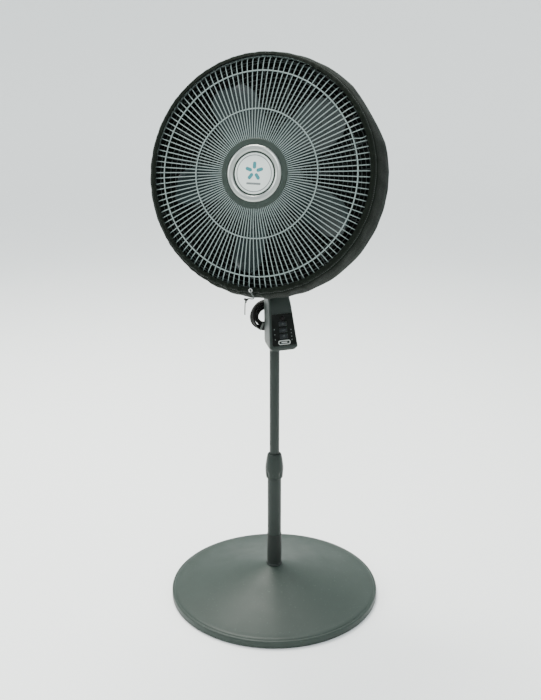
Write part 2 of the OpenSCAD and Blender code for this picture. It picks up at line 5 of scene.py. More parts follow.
import bmesh
import bpy
import numpy as np
from bpy.props import FloatProperty, FloatVectorProperty, IntProperty, PointerProperty
from mathutils import Matrix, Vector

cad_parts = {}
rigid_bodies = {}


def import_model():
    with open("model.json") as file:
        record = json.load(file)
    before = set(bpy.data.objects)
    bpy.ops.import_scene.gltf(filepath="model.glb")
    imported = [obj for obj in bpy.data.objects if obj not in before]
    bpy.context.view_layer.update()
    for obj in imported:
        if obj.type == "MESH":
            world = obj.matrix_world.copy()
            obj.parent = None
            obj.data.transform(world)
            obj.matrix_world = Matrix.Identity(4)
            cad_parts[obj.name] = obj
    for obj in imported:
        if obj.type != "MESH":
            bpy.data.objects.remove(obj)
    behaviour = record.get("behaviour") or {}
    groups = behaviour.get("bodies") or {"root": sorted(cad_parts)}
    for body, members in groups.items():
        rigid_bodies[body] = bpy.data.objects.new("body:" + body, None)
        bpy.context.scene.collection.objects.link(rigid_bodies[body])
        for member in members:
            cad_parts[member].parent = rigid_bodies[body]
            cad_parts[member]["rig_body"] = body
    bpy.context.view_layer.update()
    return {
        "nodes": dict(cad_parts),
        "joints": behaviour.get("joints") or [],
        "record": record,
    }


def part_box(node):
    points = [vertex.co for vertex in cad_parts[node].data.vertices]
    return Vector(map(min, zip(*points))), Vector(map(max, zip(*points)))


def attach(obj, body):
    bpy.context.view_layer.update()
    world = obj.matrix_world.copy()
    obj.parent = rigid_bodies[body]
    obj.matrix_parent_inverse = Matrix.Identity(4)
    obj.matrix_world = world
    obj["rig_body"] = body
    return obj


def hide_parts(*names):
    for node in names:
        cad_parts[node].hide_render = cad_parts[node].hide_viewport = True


bl_info = {
    "name": "Pedestal fan",
    "version": (1, 0, 0),
    "blender": (4, 5, 0),
    "location": "View3D > Sidebar > Fan",
    "description": "Builds the visible pieces of a pedestal fan round its mechanical frame",
    "category": "Add Mesh",
}

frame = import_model()
JOINTS = {joint["name"]: joint for joint in frame["joints"]}
MM = 0.001
TURN = 2 * math.pi


# ---------------------------------------------------------------- places taken from the frame

def unit(vectors):
    """Each vector divided by its length."""
    vectors = np.asarray(vectors, float)
    return vectors / np.linalg.norm(vectors, axis=-1, keepdims=True)


class Axes:
    """An origin and three square directions on which a shape is worked out before it is put in place."""

    def __init__(self, origin, x, z):
        z = unit(z)
        x = unit(np.asarray(x, float) - z * np.dot(x, z))
        self.origin = np.asarray(origin, float)
        self.turn = np.array([x, np.cross(z, x), z])

    def place(self, points):
        """Points on these axes, given in the frame's own coordinates."""
        return self.origin + np.asarray(points, float) @ self.turn

    def read(self, points):
        """Points of the frame, given on these axes."""
        return (np.asarray(points, float) - self.origin) @ self.turn.T

    def moved(self, x, y, z, quarter=0.0):
        """The same axes carried to a point on them, and turned round their Z by a number of radians."""
        side = self.turn[0] * math.cos(quarter) + self.turn[1] * math.sin(quarter)
        return Axes(self.place([x, y, z]), side, self.turn[2])


def node_points(node):
    """The vertices of a node of the frame, as an array."""
    mesh = frame["nodes"][node].data
    points = np.empty(len(mesh.vertices) * 3, np.float32)
    mesh.vertices.foreach_get("co", points)
    return points.reshape(-1, 3).astype(float)


def extent(node, axes):
    """Lowest and highest corner of a node on the given axes."""
    points = axes.read(node_points(node))
    return points.min(0), points.max(0)


def reach(node, axes):
    """Greatest distance of a node from the axes' Z."""
    points = axes.read(node_points(node))
    return float(np.hypot(points[:, 0], points[:, 1]).max())


def panel_axes():
    """Axes on the slanted key panel: X right, Y up the face, Z out of it."""
    out = -np.array(JOINTS["power_press"]["axis"])
    low, high = (np.array(corner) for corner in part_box("panel_overlay"))
    return Axes((low + high) / 2 - 0.7 * MM * out, (1, 0, 0), out)


ACROSS = -np.array(JOINTS["head_tilt"]["axis"])
STAND = Axes((0, 0, 0), (1, 0, 0), (0, 0, 1))
FAN = Axes(JOINTS["rotor_spin"]["pos_m"], ACROSS, JOINTS["rotor_spin"]["axis"])
PANEL = panel_axes()
GLAND_SLOPE = math.radians(58)
LEAD_EXIT = (0.0, 43.7 * MM, 731.2 * MM)
GLAND = Axes(LEAD_EXIT, (1, 0, 0), (0, math.cos(GLAND_SLOPE), -math.sin(GLAND_SLOPE)))

BASE_R = reach("base_cover", STAND)
BASE_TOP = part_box("base_cover")[1][2]
SOCKET_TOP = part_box("base_socket")[1][2]
LOWER_R = reach("lower_pole", STAND)
UPPER_R = reach("upper_pole", STAND)
COLLAR_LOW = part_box("height_collar")[0][2]
NECK_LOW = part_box("housing_front")[0][2]
NECK_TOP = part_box("housing_front")[1][2]
FACE_Z = extent("badge_dish", FAN)[0][2]
RIM_Z = extent("guard_rim", FAN)[0][2]
GUARD_R = reach("front_guard", FAN) - 1.5 * MM
BLADE_R = reach("impeller", FAN)
HUB_Z = extent("spinner_nut", FAN)[0][2] - 38 * MM


# ---------------------------------------------------------------- curves and surfaces

def eased(points, radius, steps=4, closed=True):
    """A polyline whose corners are rounded: each corner becomes the quadratic curve that leaves one
    side a radius before it and joins the next a radius after it, or at 0.45 of a shorter side."""
    corner = np.asarray(points, float)
    back, ahead = np.roll(corner, 1, 0) - corner, np.roll(corner, -1, 0) - corner
    radius = np.broadcast_to(radius, len(corner))[:, None]
    start, end = (
        corner + side * np.minimum(radius / np.linalg.norm(side, axis=1, keepdims=True), 0.45)
        for side in (back, ahead)
    )
    t = np.linspace(0, 1, steps + 1)[None, :, None]
    curve = (1 - t) ** 2 * start[:, None] + 2 * t * (1 - t) * corner[:, None] + t * t * end[:, None]
    if closed:
        return curve.reshape(-1, corner.shape[1])
    return np.concatenate([corner[:1], curve[1:-1].reshape(-1, corner.shape[1]), corner[-1:]])


def flowing(points, count):
    """The Catmull-Rom curve through the points, sampled at even steps of its parameter."""
    p = np.asarray(points, float)
    t = np.linspace(0, len(p) - 1, count)
    i = np.minimum(t.astype(int), len(p) - 2)
    f = (t - i)[:, None]
    a, b, c, d = p[np.maximum(i - 1, 0)], p[i], p[i + 1], p[np.minimum(i + 2, len(p) - 1)]
    return 0.5 * (2 * b + (c - a) * f + (2 * a - 5 * b + 4 * c - d) * f**2 + (3 * b - a - 3 * c + d) * f**3)


def turned(profile, steps):
    """A surface of revolution: every profile point (radius, height) carried round Z."""
    angle = np.arange(steps) * TURN / steps
    radius, height = np.asarray(profile, float).T[:, :, None]
    return np.stack([radius * np.cos(angle), radius * np.sin(angle), height + 0 * angle], -1)


def tube(path, radius, sides, hint, closed=False):
    """Rings of the given radius square to a path; each ring starts on the side away from the hint."""
    ahead = np.roll(path, -1, -2) - np.roll(path, 1, -2) if closed else np.gradient(path, axis=-2)
    ahead = unit(ahead)
    across = unit(np.cross(ahead, hint))
    up = np.cross(ahead, across)
    angle = np.arange(sides)[:, None] * TURN / sides
    radius = np.broadcast_to(radius, path.shape[:-1])[..., None, None]
    ring = across[..., None, :] * np.cos(angle) + up[..., None, :] * np.sin(angle)
    return path[..., None, :] + radius * ring


def capped(rows):
    """The rows with one more at each end, where the row shrinks to its own middle."""
    first = np.broadcast_to(rows[..., :1, :, :].mean(-2, keepdims=True), rows[..., :1, :, :].shape)
    last = np.broadcast_to(rows[..., -1:, :, :].mean(-2, keepdims=True), rows[..., -1:, :, :].shape)
    return np.concatenate([first, rows, last], -3)


def stadium(width, height, steps=12):
    """The outline of an oval with two straight sides: half circles round two middles."""
    angle = (np.arange(2 * steps) + 0.5) * TURN / (2 * steps)
    middle = np.where(np.cos(angle) > 0, 1, -1) * (width - height) / 2
    return np.stack([middle + height / 2 * np.cos(angle), height / 2 * np.sin(angle)], -1)


def pillow(width, height, power, profile, steps=48):
    """A squarish button: the superellipse |x/a|^n + |y/b|^n = 1, scaled and lifted along a profile
    of (scale, height) pairs."""
    angle = np.arange(steps) * TURN / steps
    x, y = np.cos(angle), np.sin(angle)
    outline = np.stack([
        width / 2 * np.sign(x) * np.abs(x) ** (2 / power),
        height / 2 * np.sign(y) * np.abs(y) ** (2 / power),
    ], -1)
    scale, lift = np.asarray(profile, float).T[:, :, None]
    flat = outline[None] * scale[..., None]
    return np.concatenate([flat, np.broadcast_to(lift[..., None], flat.shape[:2] + (1,))], -1)


def bump(distance):
    """A smooth bump: 1 at 0, falling to 0 at a distance of 1 either way."""
    inside = np.clip(1 - np.abs(distance), 0, 1)
    return inside * inside * (3 - 2 * inside)


def angle_from(angle, middle):
    """Difference of angles in degrees, from -180 to 180."""
    return (angle - middle + 180) % 360 - 180


class Skin:
    """Grids of points gathered into one mesh of quads. Every corner gets a UV in metres, and every
    grid its own finish number."""

    def __init__(self):
        self.points, self.quads, self.uvs, self.numbers = [], [], [], []
        self.total = 0

    def grid(self, points, ring=False, loop=False, size=(1, 1), finish=0, window=None):
        """Adds a grid, or a batch of grids, of rows by columns. With ring its columns join round, with
        loop its rows do. A window (row, row, column, column) is left open."""
        rows, columns = points.shape[-3:-1]
        cells = rows - (not loop), columns - (not ring)
        row, column = (side.ravel() for side in np.indices(cells))
        if window is not None:
            top, bottom, left, right = window
            kept = (row < top) | (row >= bottom) | (column < left) | (column >= right)
            row, column = row[kept], column[kept]
        rows_at, columns_at = row[:, None] + [0, 0, 1, 1], column[:, None] + [0, 1, 1, 0]
        quads = rows_at % rows * columns + columns_at % columns
        uv = np.stack([columns_at / cells[1] * size[0], rows_at / cells[0] * size[1]], -1)
        batch = points.reshape(-1, rows * columns, 3)
        starts = self.total + np.arange(len(batch)) * rows * columns
        self.points.append(batch.reshape(-1, 3))
        self.quads.append((starts[:, None, None] + quads).reshape(-1, 4))
        self.uvs.append(np.tile(uv.reshape(-1, 2), (len(batch), 1)))
        self.numbers.append(np.full(len(batch) * len(quads), finish))
        self.total += len(batch) * rows * columns

    def walls(self, outer, inner, ring=False, size=(1, 1), window=None):
        """A thick sheet: an outer and an inner grid, and strips that join all their edges."""
        self.grid(outer, ring, size=size, window=window)
        self.grid(inner, ring, size=size, window=window)
        for end in (0, -1):
            self.grid(np.stack([outer[end], inner[end]]), ring, size=(size[0], MM))
            if not ring:
                self.grid(np.stack([outer[:, end], inner[:, end]]), size=(size[1], MM))
        if window is not None:
            top, bottom, left, right = window
            down, over = np.arange(top, bottom), np.arange(left, right)
            row = np.concatenate([0 * over + top, down, 0 * over + bottom, down[::-1] + 1])
            column = np.concatenate([over, 0 * down + right, over[::-1] + 1, 0 * down + left])
            self.grid(np.stack([outer[row, column], inner[row, column]]), True, size=(MM, MM))

    def turn(self, profile, axes=STAND, steps=96, closed=True, finish=0):
        """Adds a turned profile, in metres, standing on the given axes."""
        profile = np.asarray(profile, float)
        long = float(np.linalg.norm(np.diff(profile, axis=0), axis=1).sum())
        size = (TURN * float(profile[:, 0].max()), long)
        self.grid(axes.place(turned(profile, steps)), True, closed, size, finish)

    def mesh(self, name):
        """The mesh: doubles merged, faces turned outwards, smooth but for edges over 35 degrees."""
        mesh = bpy.data.meshes.new(name)
        mesh.from_pydata(np.concatenate(self.points), [], np.concatenate(self.quads))
        mesh.uv_layers.new(name="UVMap").uv.foreach_set("vector", np.concatenate(self.uvs).ravel())
        mesh.polygons.foreach_set("material_index", np.concatenate(self.numbers))
        return cleaned(mesh)


def cleaned(mesh, flatten=False):
    """Merges doubles, joins flat triangles when asked, and turns the faces outwards."""
    work = bmesh.new()
    work.from_mesh(mesh)
    bmesh.ops.remove_doubles(work, verts=work.verts, dist=1e-6)
    if flatten:
        bmesh.ops.dissolve_limit(work, angle_limit=math.radians(1), verts=work.verts, edges=work.edges)
    bmesh.ops.recalc_face_normals(work, faces=work.faces)
    work.to_mesh(mesh)
    work.free()
    mesh.shade_smooth()
    mesh.set_sharp_from_angle(angle=math.radians(35))
    return mesh


def add_piece(mesh, body, finishes, nodes=()):
    """Puts a mesh in the scene as a piece that rides on a body and stands for the named nodes."""
    piece = bpy.data.objects.new(mesh.name, mesh)
    bpy.context.scene.collection.objects.link(piece)
    for finish in finishes:
        mesh.materials.append(finish)
    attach(piece, body)
    if nodes:
        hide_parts(*nodes)
    return piece


def softened(piece, width, segments=2):
    """Rounds the sharp edges of a piece."""
    bevel = piece.modifiers.new("Rounded edges", "BEVEL")
    bevel.width = width
    bevel.segments = segments
    bevel.limit_method = "ANGLE"
    bevel.angle_limit = math.radians(38)
    bevel.harden_normals = True
    return piece


def copied(name, node, finish, width=0.4 * MM):
    """A copy of a node's own shape with its sharp edges rounded, which then stands for the node."""
    source = frame["nodes"][node]
    mesh = source.data.copy()
    mesh.name = name
    mesh.materials.clear()
    mesh = cleaned(mesh, flatten=True)
    return softened(add_piece(mesh, source["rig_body"], [finish], [node]), width)


# ---------------------------------------------------------------- finishes

class Wire:
    """An output socket of a finish. Sums and products of wires add Math nodes to it."""

    def __init__(self, finish, socket):
        self.finish, self.socket = finish, socket

    def maths(self, operation, first, second=0.0):
        return self.finish.node("ShaderNodeMath", {"operation": operation}, {0: first, 1: second})

    def __add__(self, other):
        return self.maths("ADD", self, other)

    def __rsub__(self, other):
        return self.maths("SUBTRACT", other, self)

    def __mul__(self, other):
        return self.maths("MULTIPLY", self, other)

    __radd__, __rmul__ = __add__, __mul__

    def sine(self):
        return self.maths("SINE", self)

    def size(self):
        return self.maths("ABSOLUTE", self)


class Finish:
    """A material and its nodes. Constants are set on the shader's own sockets."""

    def __init__(self, name, constants):
        self.material = bpy.data.materials.new(name)
        self.material.use_nodes = True
        self.tree = self.material.node_tree
        self.shader = self.tree.nodes["Principled BSDF"]
        for socket, value in constants.items():
            self.shader.inputs[socket].default_value = value
        self.place = self.node("ShaderNodeTexCoord", {}, {}, "Object")
        self.cloth = self.node("ShaderNodeTexCoord", {}, {}, "UV")

    def node(self, kind, settings, inputs, output=0):
        """Adds a node: its settings first (a ramp's stops among them), then the values or wires of its
        sockets. Gives the wire of one output."""
        node = self.tree.nodes.new(kind)
        stops = settings.pop("stops", ())
        for setting, value in settings.items():
            setattr(node, setting, value)
        for place, (position, colour) in enumerate(stops):
            stop = node.color_ramp.elements[place] if place < 2 else node.color_ramp.elements.new(position)
            stop.position, stop.color = position, (*colour, 1.0)
        for socket, value in inputs.items():
            if isinstance(value, Wire):
                self.tree.links.new(value.socket, node.inputs[socket])
            else:
                node.inputs[socket].default_value = value
        return Wire(self, node.outputs[output])

    def noise(self, scale, detail=2.0, where=None):
        """Even noise between 0 and 1, about 1 / scale metres from lump to lump."""
        inputs = {"Vector": where or self.place, "Scale": scale, "Detail": detail}
        return self.node("ShaderNodeTexNoise", {}, inputs)

    def mix(self, amount, first, second):
        """The first colour, going over to the second as the amount goes from 0 to 1."""
        inputs = {0: amount, 6: colour4(first), 7: colour4(second)}
        return self.node("ShaderNodeMix", {"data_type": "RGBA"}, inputs, 2)

    def axis(self, vector, name):
        """One number of a vector."""
        return self.node("ShaderNodeSeparateXYZ", {}, {0: vector}, name)

    def done(self, colour, roughness, height):
        """Links a colour, a roughness and a relief in millimetres, and gives the material."""
        relief = self.node("ShaderNodeBump", {}, {"Strength": 1.0, "Distance": MM, "Height": height})
        for socket, wire in (("Base Color", colour), ("Roughness", roughness), ("Normal", relief)):
            self.tree.links.new(wire.socket, self.shader.inputs[socket])
        return self.material


def colour4(colour):
    """A colour with its alpha, or a wire as it is."""
    return colour if isinstance(colour, Wire) else (*colour[:3], 1.0)


def shaded(colour, share):
    """A colour made darker or lighter by a share."""
    return tuple(channel * share for channel in colour[:3])


def moulded(name, colour, roughness=0.42, grain=0.03, coat=0.0, dust=0.0, gleam=0.22):
    """Moulded plastic: a fine spark-eroded grain, faint flow clouds, handling marks in its gloss, and
    a share of pale dust specks."""
    finish = Finish(name, {"Coat Weight": coat, "Coat Roughness": 0.2, "Specular IOR Level": gleam})
    clouds = finish.noise(7, 3)
    grains = finish.noise(1400, 2)
    tint = finish.mix(clouds * 0.7 + grains * 0.3, shaded(colour, 0.82), shaded(colour, 1.18))
    if dust:
        stops = ((0.66, (0, 0, 0)), (0.72, (1, 1, 1)))
        specks = finish.node("ShaderNodeValToRGB", {"stops": stops}, {0: finish.noise(210, 2)})
        tint = finish.mix(specks * dust, tint, shaded(colour, 4))
    return finish.done(tint, finish.noise(24, 4) * 0.16 + (roughness - 0.08), grains * grain)


def painted(name, colour, roughness=0.34, peel=0.05):
    """Powder-coated metal: soft orange peel over an even colour."""
    finish = Finish(name, {"Coat Weight": 0.05, "Coat Roughness": 0.2, "Specular IOR Level": 0.22})
    peels = finish.noise(420, 1)
    tint = finish.mix(finish.noise(11, 3), shaded(colour, 0.9), shaded(colour, 1.1))
    return finish.done(tint, finish.noise(60, 3) * 0.12 + (roughness - 0.06), peels * peel)


def metal(name, colour, roughness=0.3, scratch=0.02):
    """Bare or plated metal with fine drawn lines along Z and a little tarnish."""
    finish = Finish(name, {"Metallic": 1.0})
    stretched = finish.node("ShaderNodeMapping", {}, {"Vector": finish.place, "Scale": (900, 900, 40)})
    lines = finish.noise(1, 3, stretched)
    tint = finish.mix(finish.noise(30, 3), shaded(colour, 0.85), colour)
    return finish.done(tint, lines * 0.2 + (roughness - 0.1), lines * scratch)


def rubbery(name, colour, roughness=0.5):
    """Soft PVC or rubber: a close matt skin with a faint mould bloom."""
    finish = Finish(name, {"Specular IOR Level": 0.14})
    skin = finish.noise(900, 3)
    tint = finish.mix(finish.noise(40, 3), shaded(colour, 0.7), shaded(colour, 1.4))
    return finish.done(tint, finish.noise(80, 2) * 0.2 + (roughness - 0.1), skin * 0.04)


def woven(name, colour, pitch, depth=0.22, sheen=0.02):
    """Plain-woven cloth: two sets of round threads at right angles, each going over and under the
    other, with a mottled dye. The pattern follows the cloth's own U and V, in metres."""
    finish = Finish(name, {"Sheen Weight": sheen, "Sheen Roughness": 0.5, "Specular IOR Level": 0.07})
    across = finish.axis(finish.cloth, "X") * (math.pi / pitch)
    along = finish.axis(finish.cloth, "Y") * (math.pi / pitch)
    over = across.sine() * along.sine()
    threads = (across.sine().size() + along.sine().size()) * 0.5 + over * 0.25
    melange = finish.noise(700, 2)
    dye = finish.mix(finish.noise(26, 4), shaded(colour, 0.78), shaded(colour, 1.2))
    tint = finish.mix((1 - threads) * 0.45 + melange * 0.2, dye, shaded(colour, 0.45))
    creases = finish.noise(55, 4) * 0.9
    return finish.done(tint, melange * 0.1 + 0.75, threads * depth + creases)


def laminated(name, colour, pitch=0.5 * MM):
    """A pack of thin steel sheets seen on edge: fine lines across the fan's axis."""
    finish = Finish(name, {"Metallic": 0.8})
    turn = finish.node("ShaderNodeVectorMath", {"operation": "DOT_PRODUCT"},
                       {0: finish.place, 1: tuple(FAN.turn[2])}, "Value")
    sheets = (turn * (math.pi / pitch)).sine().size()
    return finish.done(finish.mix(sheets, shaded(colour, 0.5), colour), sheets * 0.1 + 0.4, sheets * 0.1)


def wound(name, colour):
    """Enamelled wire wound round the stator: strands that run round the fan's axis."""
    finish = Finish(name, {"Metallic": 0.6, "Coat Weight": 0.6})
    strands = (finish.noise(500, 2) * 9 + finish.axis(finish.place, "Z") * 3800).sine().size()
    return finish.done(finish.mix(strands, shaded(colour, 0.45), colour), strands * 0.1 + 0.3, strands * 0.3)


def finishes():
    """One material for each of the record's slots, made once and kept by name."""
    look = bpy.context.scene.fan_finishes
    body, base, dark = look.body_colour, look.base_colour, look.dark_colour
    makers = {
        "base_plastic": lambda n: moulded(n, base, 0.46, 0.04, dust=0.2),
        "body_plastic": lambda n: moulded(n, body, 0.4, 0.03),
        "dark_plastic": lambda n: moulded(n, dark, 0.45, 0.04),
        "panel_plastic": lambda n: moulded(n, look.panel_colour, 0.3, 0.005, gleam=0.1),
        "key_plastic": lambda n: moulded(n, look.key_colour, 0.42, 0.02),
        "badge_face": lambda n: moulded(n, look.badge_colour, 0.3, 0.0, coat=0.5),
        "blade_plastic": lambda n: moulded(n, look.blade_colour, 0.26, 0.01, coat=0.35),
        "lens": lambda n: moulded(n, (0.003, 0.002, 0.002), 0.25, 0.0, gleam=0.15),
        "lamp_lens": lambda n: moulded(n, (0.1, 0.115, 0.11), 0.35, 0.01),
        "gear_nylon": lambda n: moulded(n, (0.72, 0.7, 0.62), 0.4, 0.02),
        "board": lambda n: moulded(n, (0.02, 0.12, 0.05), 0.35, 0.02),
        "tie": lambda n: moulded(n, (0.16, 0.17, 0.16), 0.35, 0.02),
        "painted_tube": lambda n: painted(n, body, 0.45),
        "guard_wire": lambda n: painted(n, look.wire_colour, 0.3, 0.02),
        # Rear grille wire: the guard wire colour cut to a fifth, as painted shade for the shadow the cover
        # casts on the rear grille
        "shaded_wire": lambda n: painted(n, shaded(look.wire_colour, 0.2), 0.4, 0.02),
        "ballast": lambda n: painted(n, (0.1, 0.1, 0.1), 0.7, 0.3),
        "steel": lambda n: metal(n, (0.55, 0.55, 0.54), 0.35),
        "badge_silver": lambda n: metal(n, (0.42, 0.44, 0.42), 0.34, 0.005),
        "brass": lambda n: metal(n, (0.6, 0.42, 0.16), 0.3),
        "cast_alloy": lambda n: metal(n, (0.5, 0.5, 0.5), 0.5, 0.1),
        "rubber": lambda n: rubbery(n, (0.018, 0.018, 0.018), 0.7),
        "cord_rubber": lambda n: rubbery(n, (0.006, 0.0055, 0.005), 0.42),
        "cover_cloth": lambda n: woven(n, look.cloth_colour, 0.9 * MM),
        "cover_mesh": lambda n: woven(n, look.mesh_colour, 1.2 * MM, 0.35, 0.05),
        "string": lambda n: woven(n, (0.1, 0.11, 0.105), 0.6 * MM, 0.15, 0.2),
        "core_steel": lambda n: laminated(n, (0.3, 0.31, 0.33)),
        "copper": lambda n: wound(n, (0.5, 0.2, 0.08)),
        "printed_mark": lambda n: moulded(n, (0.16, 0.18, 0.18), 0.4, 0.0),
        "badge_mark": lambda n: moulded(n, (0.05, 0.2, 0.22), 0.35, 0.0),
    }
    made = bpy.data.materials
    return {slot: made.get(f"{slot}_finish") or maker(f"{slot}_finish") for slot, maker in makers.items()}


# ---------------------------------------------------------------- stand

def base_cover_mesh(rim_height):
    """The base cover: an upright rim with a rounded edge, a narrow step, and a shallow cone that
    climbs to the pole as (distance from the edge) ^ 1.25. The wall is carried back inside."""
    edge, foot = BASE_R - 9 * MM, 18 * MM
    low, high = rim_height + 2 * MM, BASE_TOP
    r = np.linspace(edge, foot, 40)
    dome = np.stack([r, low + (high - low) * ((edge - r) / (edge - foot)) ** 1.25], -1)
    wall = 2.4 * MM
    under = dome[::-1] - [0, wall]
    rim = eased([
        (BASE_R - wall, 1.2 * MM), (BASE_R, 1.2 * MM), (BASE_R, rim_height - 1 * MM),
        (BASE_R - 5.5 * MM, rim_height - 0.4 * MM), (BASE_R - 6.2 * MM, rim_height + 0.6 * MM),
        tuple(dome[0]),
    ], [0, 0.8 * MM, 3.4 * MM, 0.6 * MM, 0.6 * MM, 0], closed=False)
    inside = [(BASE_R - 6 * MM, rim_height - wall), (BASE_R - wall, rim_height - 5 * MM)]
    skin = Skin()
    skin.turn(np.concatenate([rim, dome[1:], under, inside]), steps=192)
    return skin.mesh("base_shell")


def socket_mesh():
    """The sleeve that holds the pole: a stepped foot inside the base, a collar ring and a straight tube."""
    top, ring, bore = SOCKET_TOP, BASE_TOP, LOWER_R + 0.05 * MM
    profile = eased([
        (bore, 20 * MM), (24 * MM, 20 * MM), (24 * MM, 50 * MM), (17.7 * MM, 60 * MM),
        (17.7 * MM, ring + 0.1 * MM), (19.2 * MM, ring + 0.1 * MM), (19.2 * MM, ring + 2.6 * MM),
        (17 * MM, ring + 4.6 * MM), (17 * MM, top - 1 * MM), (bore, top),
    ], 0.7 * MM)
    skin = Skin()
    skin.turn(profile, steps=96)
    return skin.mesh("pole_socket")


def pole_mesh(name, node, radius):
    """A drawn tube with a small rounded lip at both ends."""
    low, high = (corner[2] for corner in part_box(node))
    wall = 1.2 * MM
    corners = [(radius, low), (radius, high), (radius - wall, high), (radius - wall, low)]
    skin = Skin()
    skin.turn(eased(corners, 0.4 * MM), steps=64)
    return skin.mesh(name)


def collar_mesh(dimples):
    """The twist-lock collar: a bell-shaped turned profile, pressed in by a ring of finger dimples
    round its lower half. Each dimple is a smooth bump of angle times a smooth bump of height."""
    low, bore = COLLAR_LOW, LOWER_R + 0.1 * MM
    profile = MM * np.array([
        (17.2, 0), (19.2, 1.6), (20.6, 11), (21, 20), (20.4, 31), (18.7, 44), (17.1, 53.4), (15.6, 58),
        (13.8, 59.8), (12.6, 58), (11.7, 56.2), (11.7, 50),
    ])
    outer = flowing(profile, 72)
    bored = [(bore, 50 * MM), (bore, 0)]
    section = np.concatenate([outer, bored]) + [0, low]
    points = turned(section, 256)
    angle = np.arange(256) * 360 / 256
    pitch = 360 / dimples
    round_it = bump(angle_from(angle % pitch, pitch / 2) / (pitch * 0.36))
    upright = bump((section[:, 1] - low - 12 * MM) / (11 * MM)) * (section[:, 0] > 17 * MM)
    pressed = 1 - 1.7 * MM * upright[:, None] * round_it / np.maximum(section[:, :1], MM)
    points[..., :2] *= pressed[..., None]
    skin = Skin()
    skin.grid(points, ring=True, loop=True, size=(0.13, 0.08))
    return skin.mesh("twist_collar")


# ---------------------------------------------------------------- neck

SLANT = math.atan2(-JOINTS["power_press"]["axis"][2], JOINTS["power_press"]["axis"][1])
SEAM_Y = 2 * MM
SIDE_STEPS, CORNER_STEPS = 4, 9
FLAT_SHARES = (0.8, 0.65, 0.5, 0.25, 0.0)


def housing_slices():
    """Rows of height, half width, front, back, half width of the back's flat, front corner radius and
    back corner radius, from the foot of the control box up the stem, with every change of slope eased."""
    low, high = NECK_LOW, NECK_TOP
    shoulder = low + 98 * MM

    def face(z):
        return 63.8 * MM - (z - low - 7 * MM) * math.tan(SLANT)

    rows = np.array([
        (low, 28 * MM, face(low) - 7 * MM, 22 * MM, 3 * MM, 8 * MM, 16 * MM),
        (low + 7 * MM, 32 * MM, face(low + 7 * MM), 24 * MM, 4 * MM, 6 * MM, 16 * MM),
        (shoulder, 25 * MM, face(shoulder), 25.5 * MM, 4.5 * MM, 6 * MM, 16 * MM),
        (shoulder + 27 * MM, 23.5 * MM, 25.5 * MM, 25.5 * MM, 6 * MM, 14 * MM, 16 * MM),
        (high - 4 * MM, 24.5 * MM, 24.5 * MM, 25 * MM, 8.5 * MM, 16.5 * MM, 16 * MM),
        (high, 22.6 * MM, 22.6 * MM, 23.2 * MM, 7 * MM, 15.5 * MM, 15 * MM),
    ])
    smooth = eased(rows, [0, 2.4 * MM, 8 * MM, 10 * MM, 2 * MM, 0], closed=False)
    height = np.union1d(smooth[:, 0], np.linspace(low + 10 * MM, shoulder - 10 * MM, 22))
    return np.stack([np.interp(height, smooth[:, 0], column) for column in smooth.T], -1)


def half_outline(rows, inset, seam, front):
    """One half of each slice, from the seam to the middle: the straight side, the rounded corner and
    the flat. The side is the line that touches the front and the back corner's circles."""
    _, wide, out, back, flat, c, b = (column[:, None] for column in rows.T)
    first, second = (wide - c, c - out), (flat, back - b)
    along, up = second[0] - first[0], second[1] - first[1]
    turn = np.arctan2(up, along) - np.arccos((c - b) / np.hypot(along, up))
    touch = [(m[0] + (r - inset) * np.cos(turn), m[1] + (r - inset) * np.sin(turn))
             for m, r in ((first, c), (second, b))]
    share = (seam - touch[0][1]) / (touch[1][1] - touch[0][1])
    start = [touch[0][k] + (touch[1][k] - touch[0][k]) * share for k in (0, 1)]
    end, middle, radius, goal = (
        (touch[0], first, c - inset, -math.pi / 2) if front else (touch[1], second, b - inset, math.pi / 2)
    )
    t = np.linspace(0, 1, SIDE_STEPS + 1)[:-1]
    angle = turn + (goal - turn) * np.linspace(0, 1, CORNER_STEPS)
    edge = (wide - c) if front else flat
    level = inset - out if front else back - inset
    shares = np.array(FLAT_SHARES)
    side = [start[k] + (end[k] - start[k]) * t for k in (0, 1)]
    corner = middle[0] + radius * np.cos(angle), middle[1] + radius * np.sin(angle)
    x = np.concatenate([side[0], corner[0], edge * shares], 1)
    y = np.concatenate([side[1], corner[1], level + 0 * shares * edge], 1)
    return np.stack([x, y], -1)


def housing_rows(rows, height, inset, seam, front):
    """The slices as a grid of points, both halves."""
    half = half_outline(rows, inset, seam, front)
    flat = np.concatenate([half, (half * [-1, 1])[:, -2::-1]], 1)
    return np.concatenate([flat, np.broadcast_to(height[:, None, None], flat.shape[:2] + (1,))], -1)


def hole_row(radius, height, seam, front, columns):
    """One row round a hole on the pole's axis, with as many points as a slice."""
    start = math.asin(seam / radius)
    goal = -math.pi / 2 if front else math.pi / 2
    half = np.linspace(start, goal, columns // 2 + 1)
    angle = np.concatenate([half, math.pi - half[-2::-1]])
    return np.stack([radius * np.cos(angle), radius * np.sin(angle), height + 0 * angle], -1)[None]


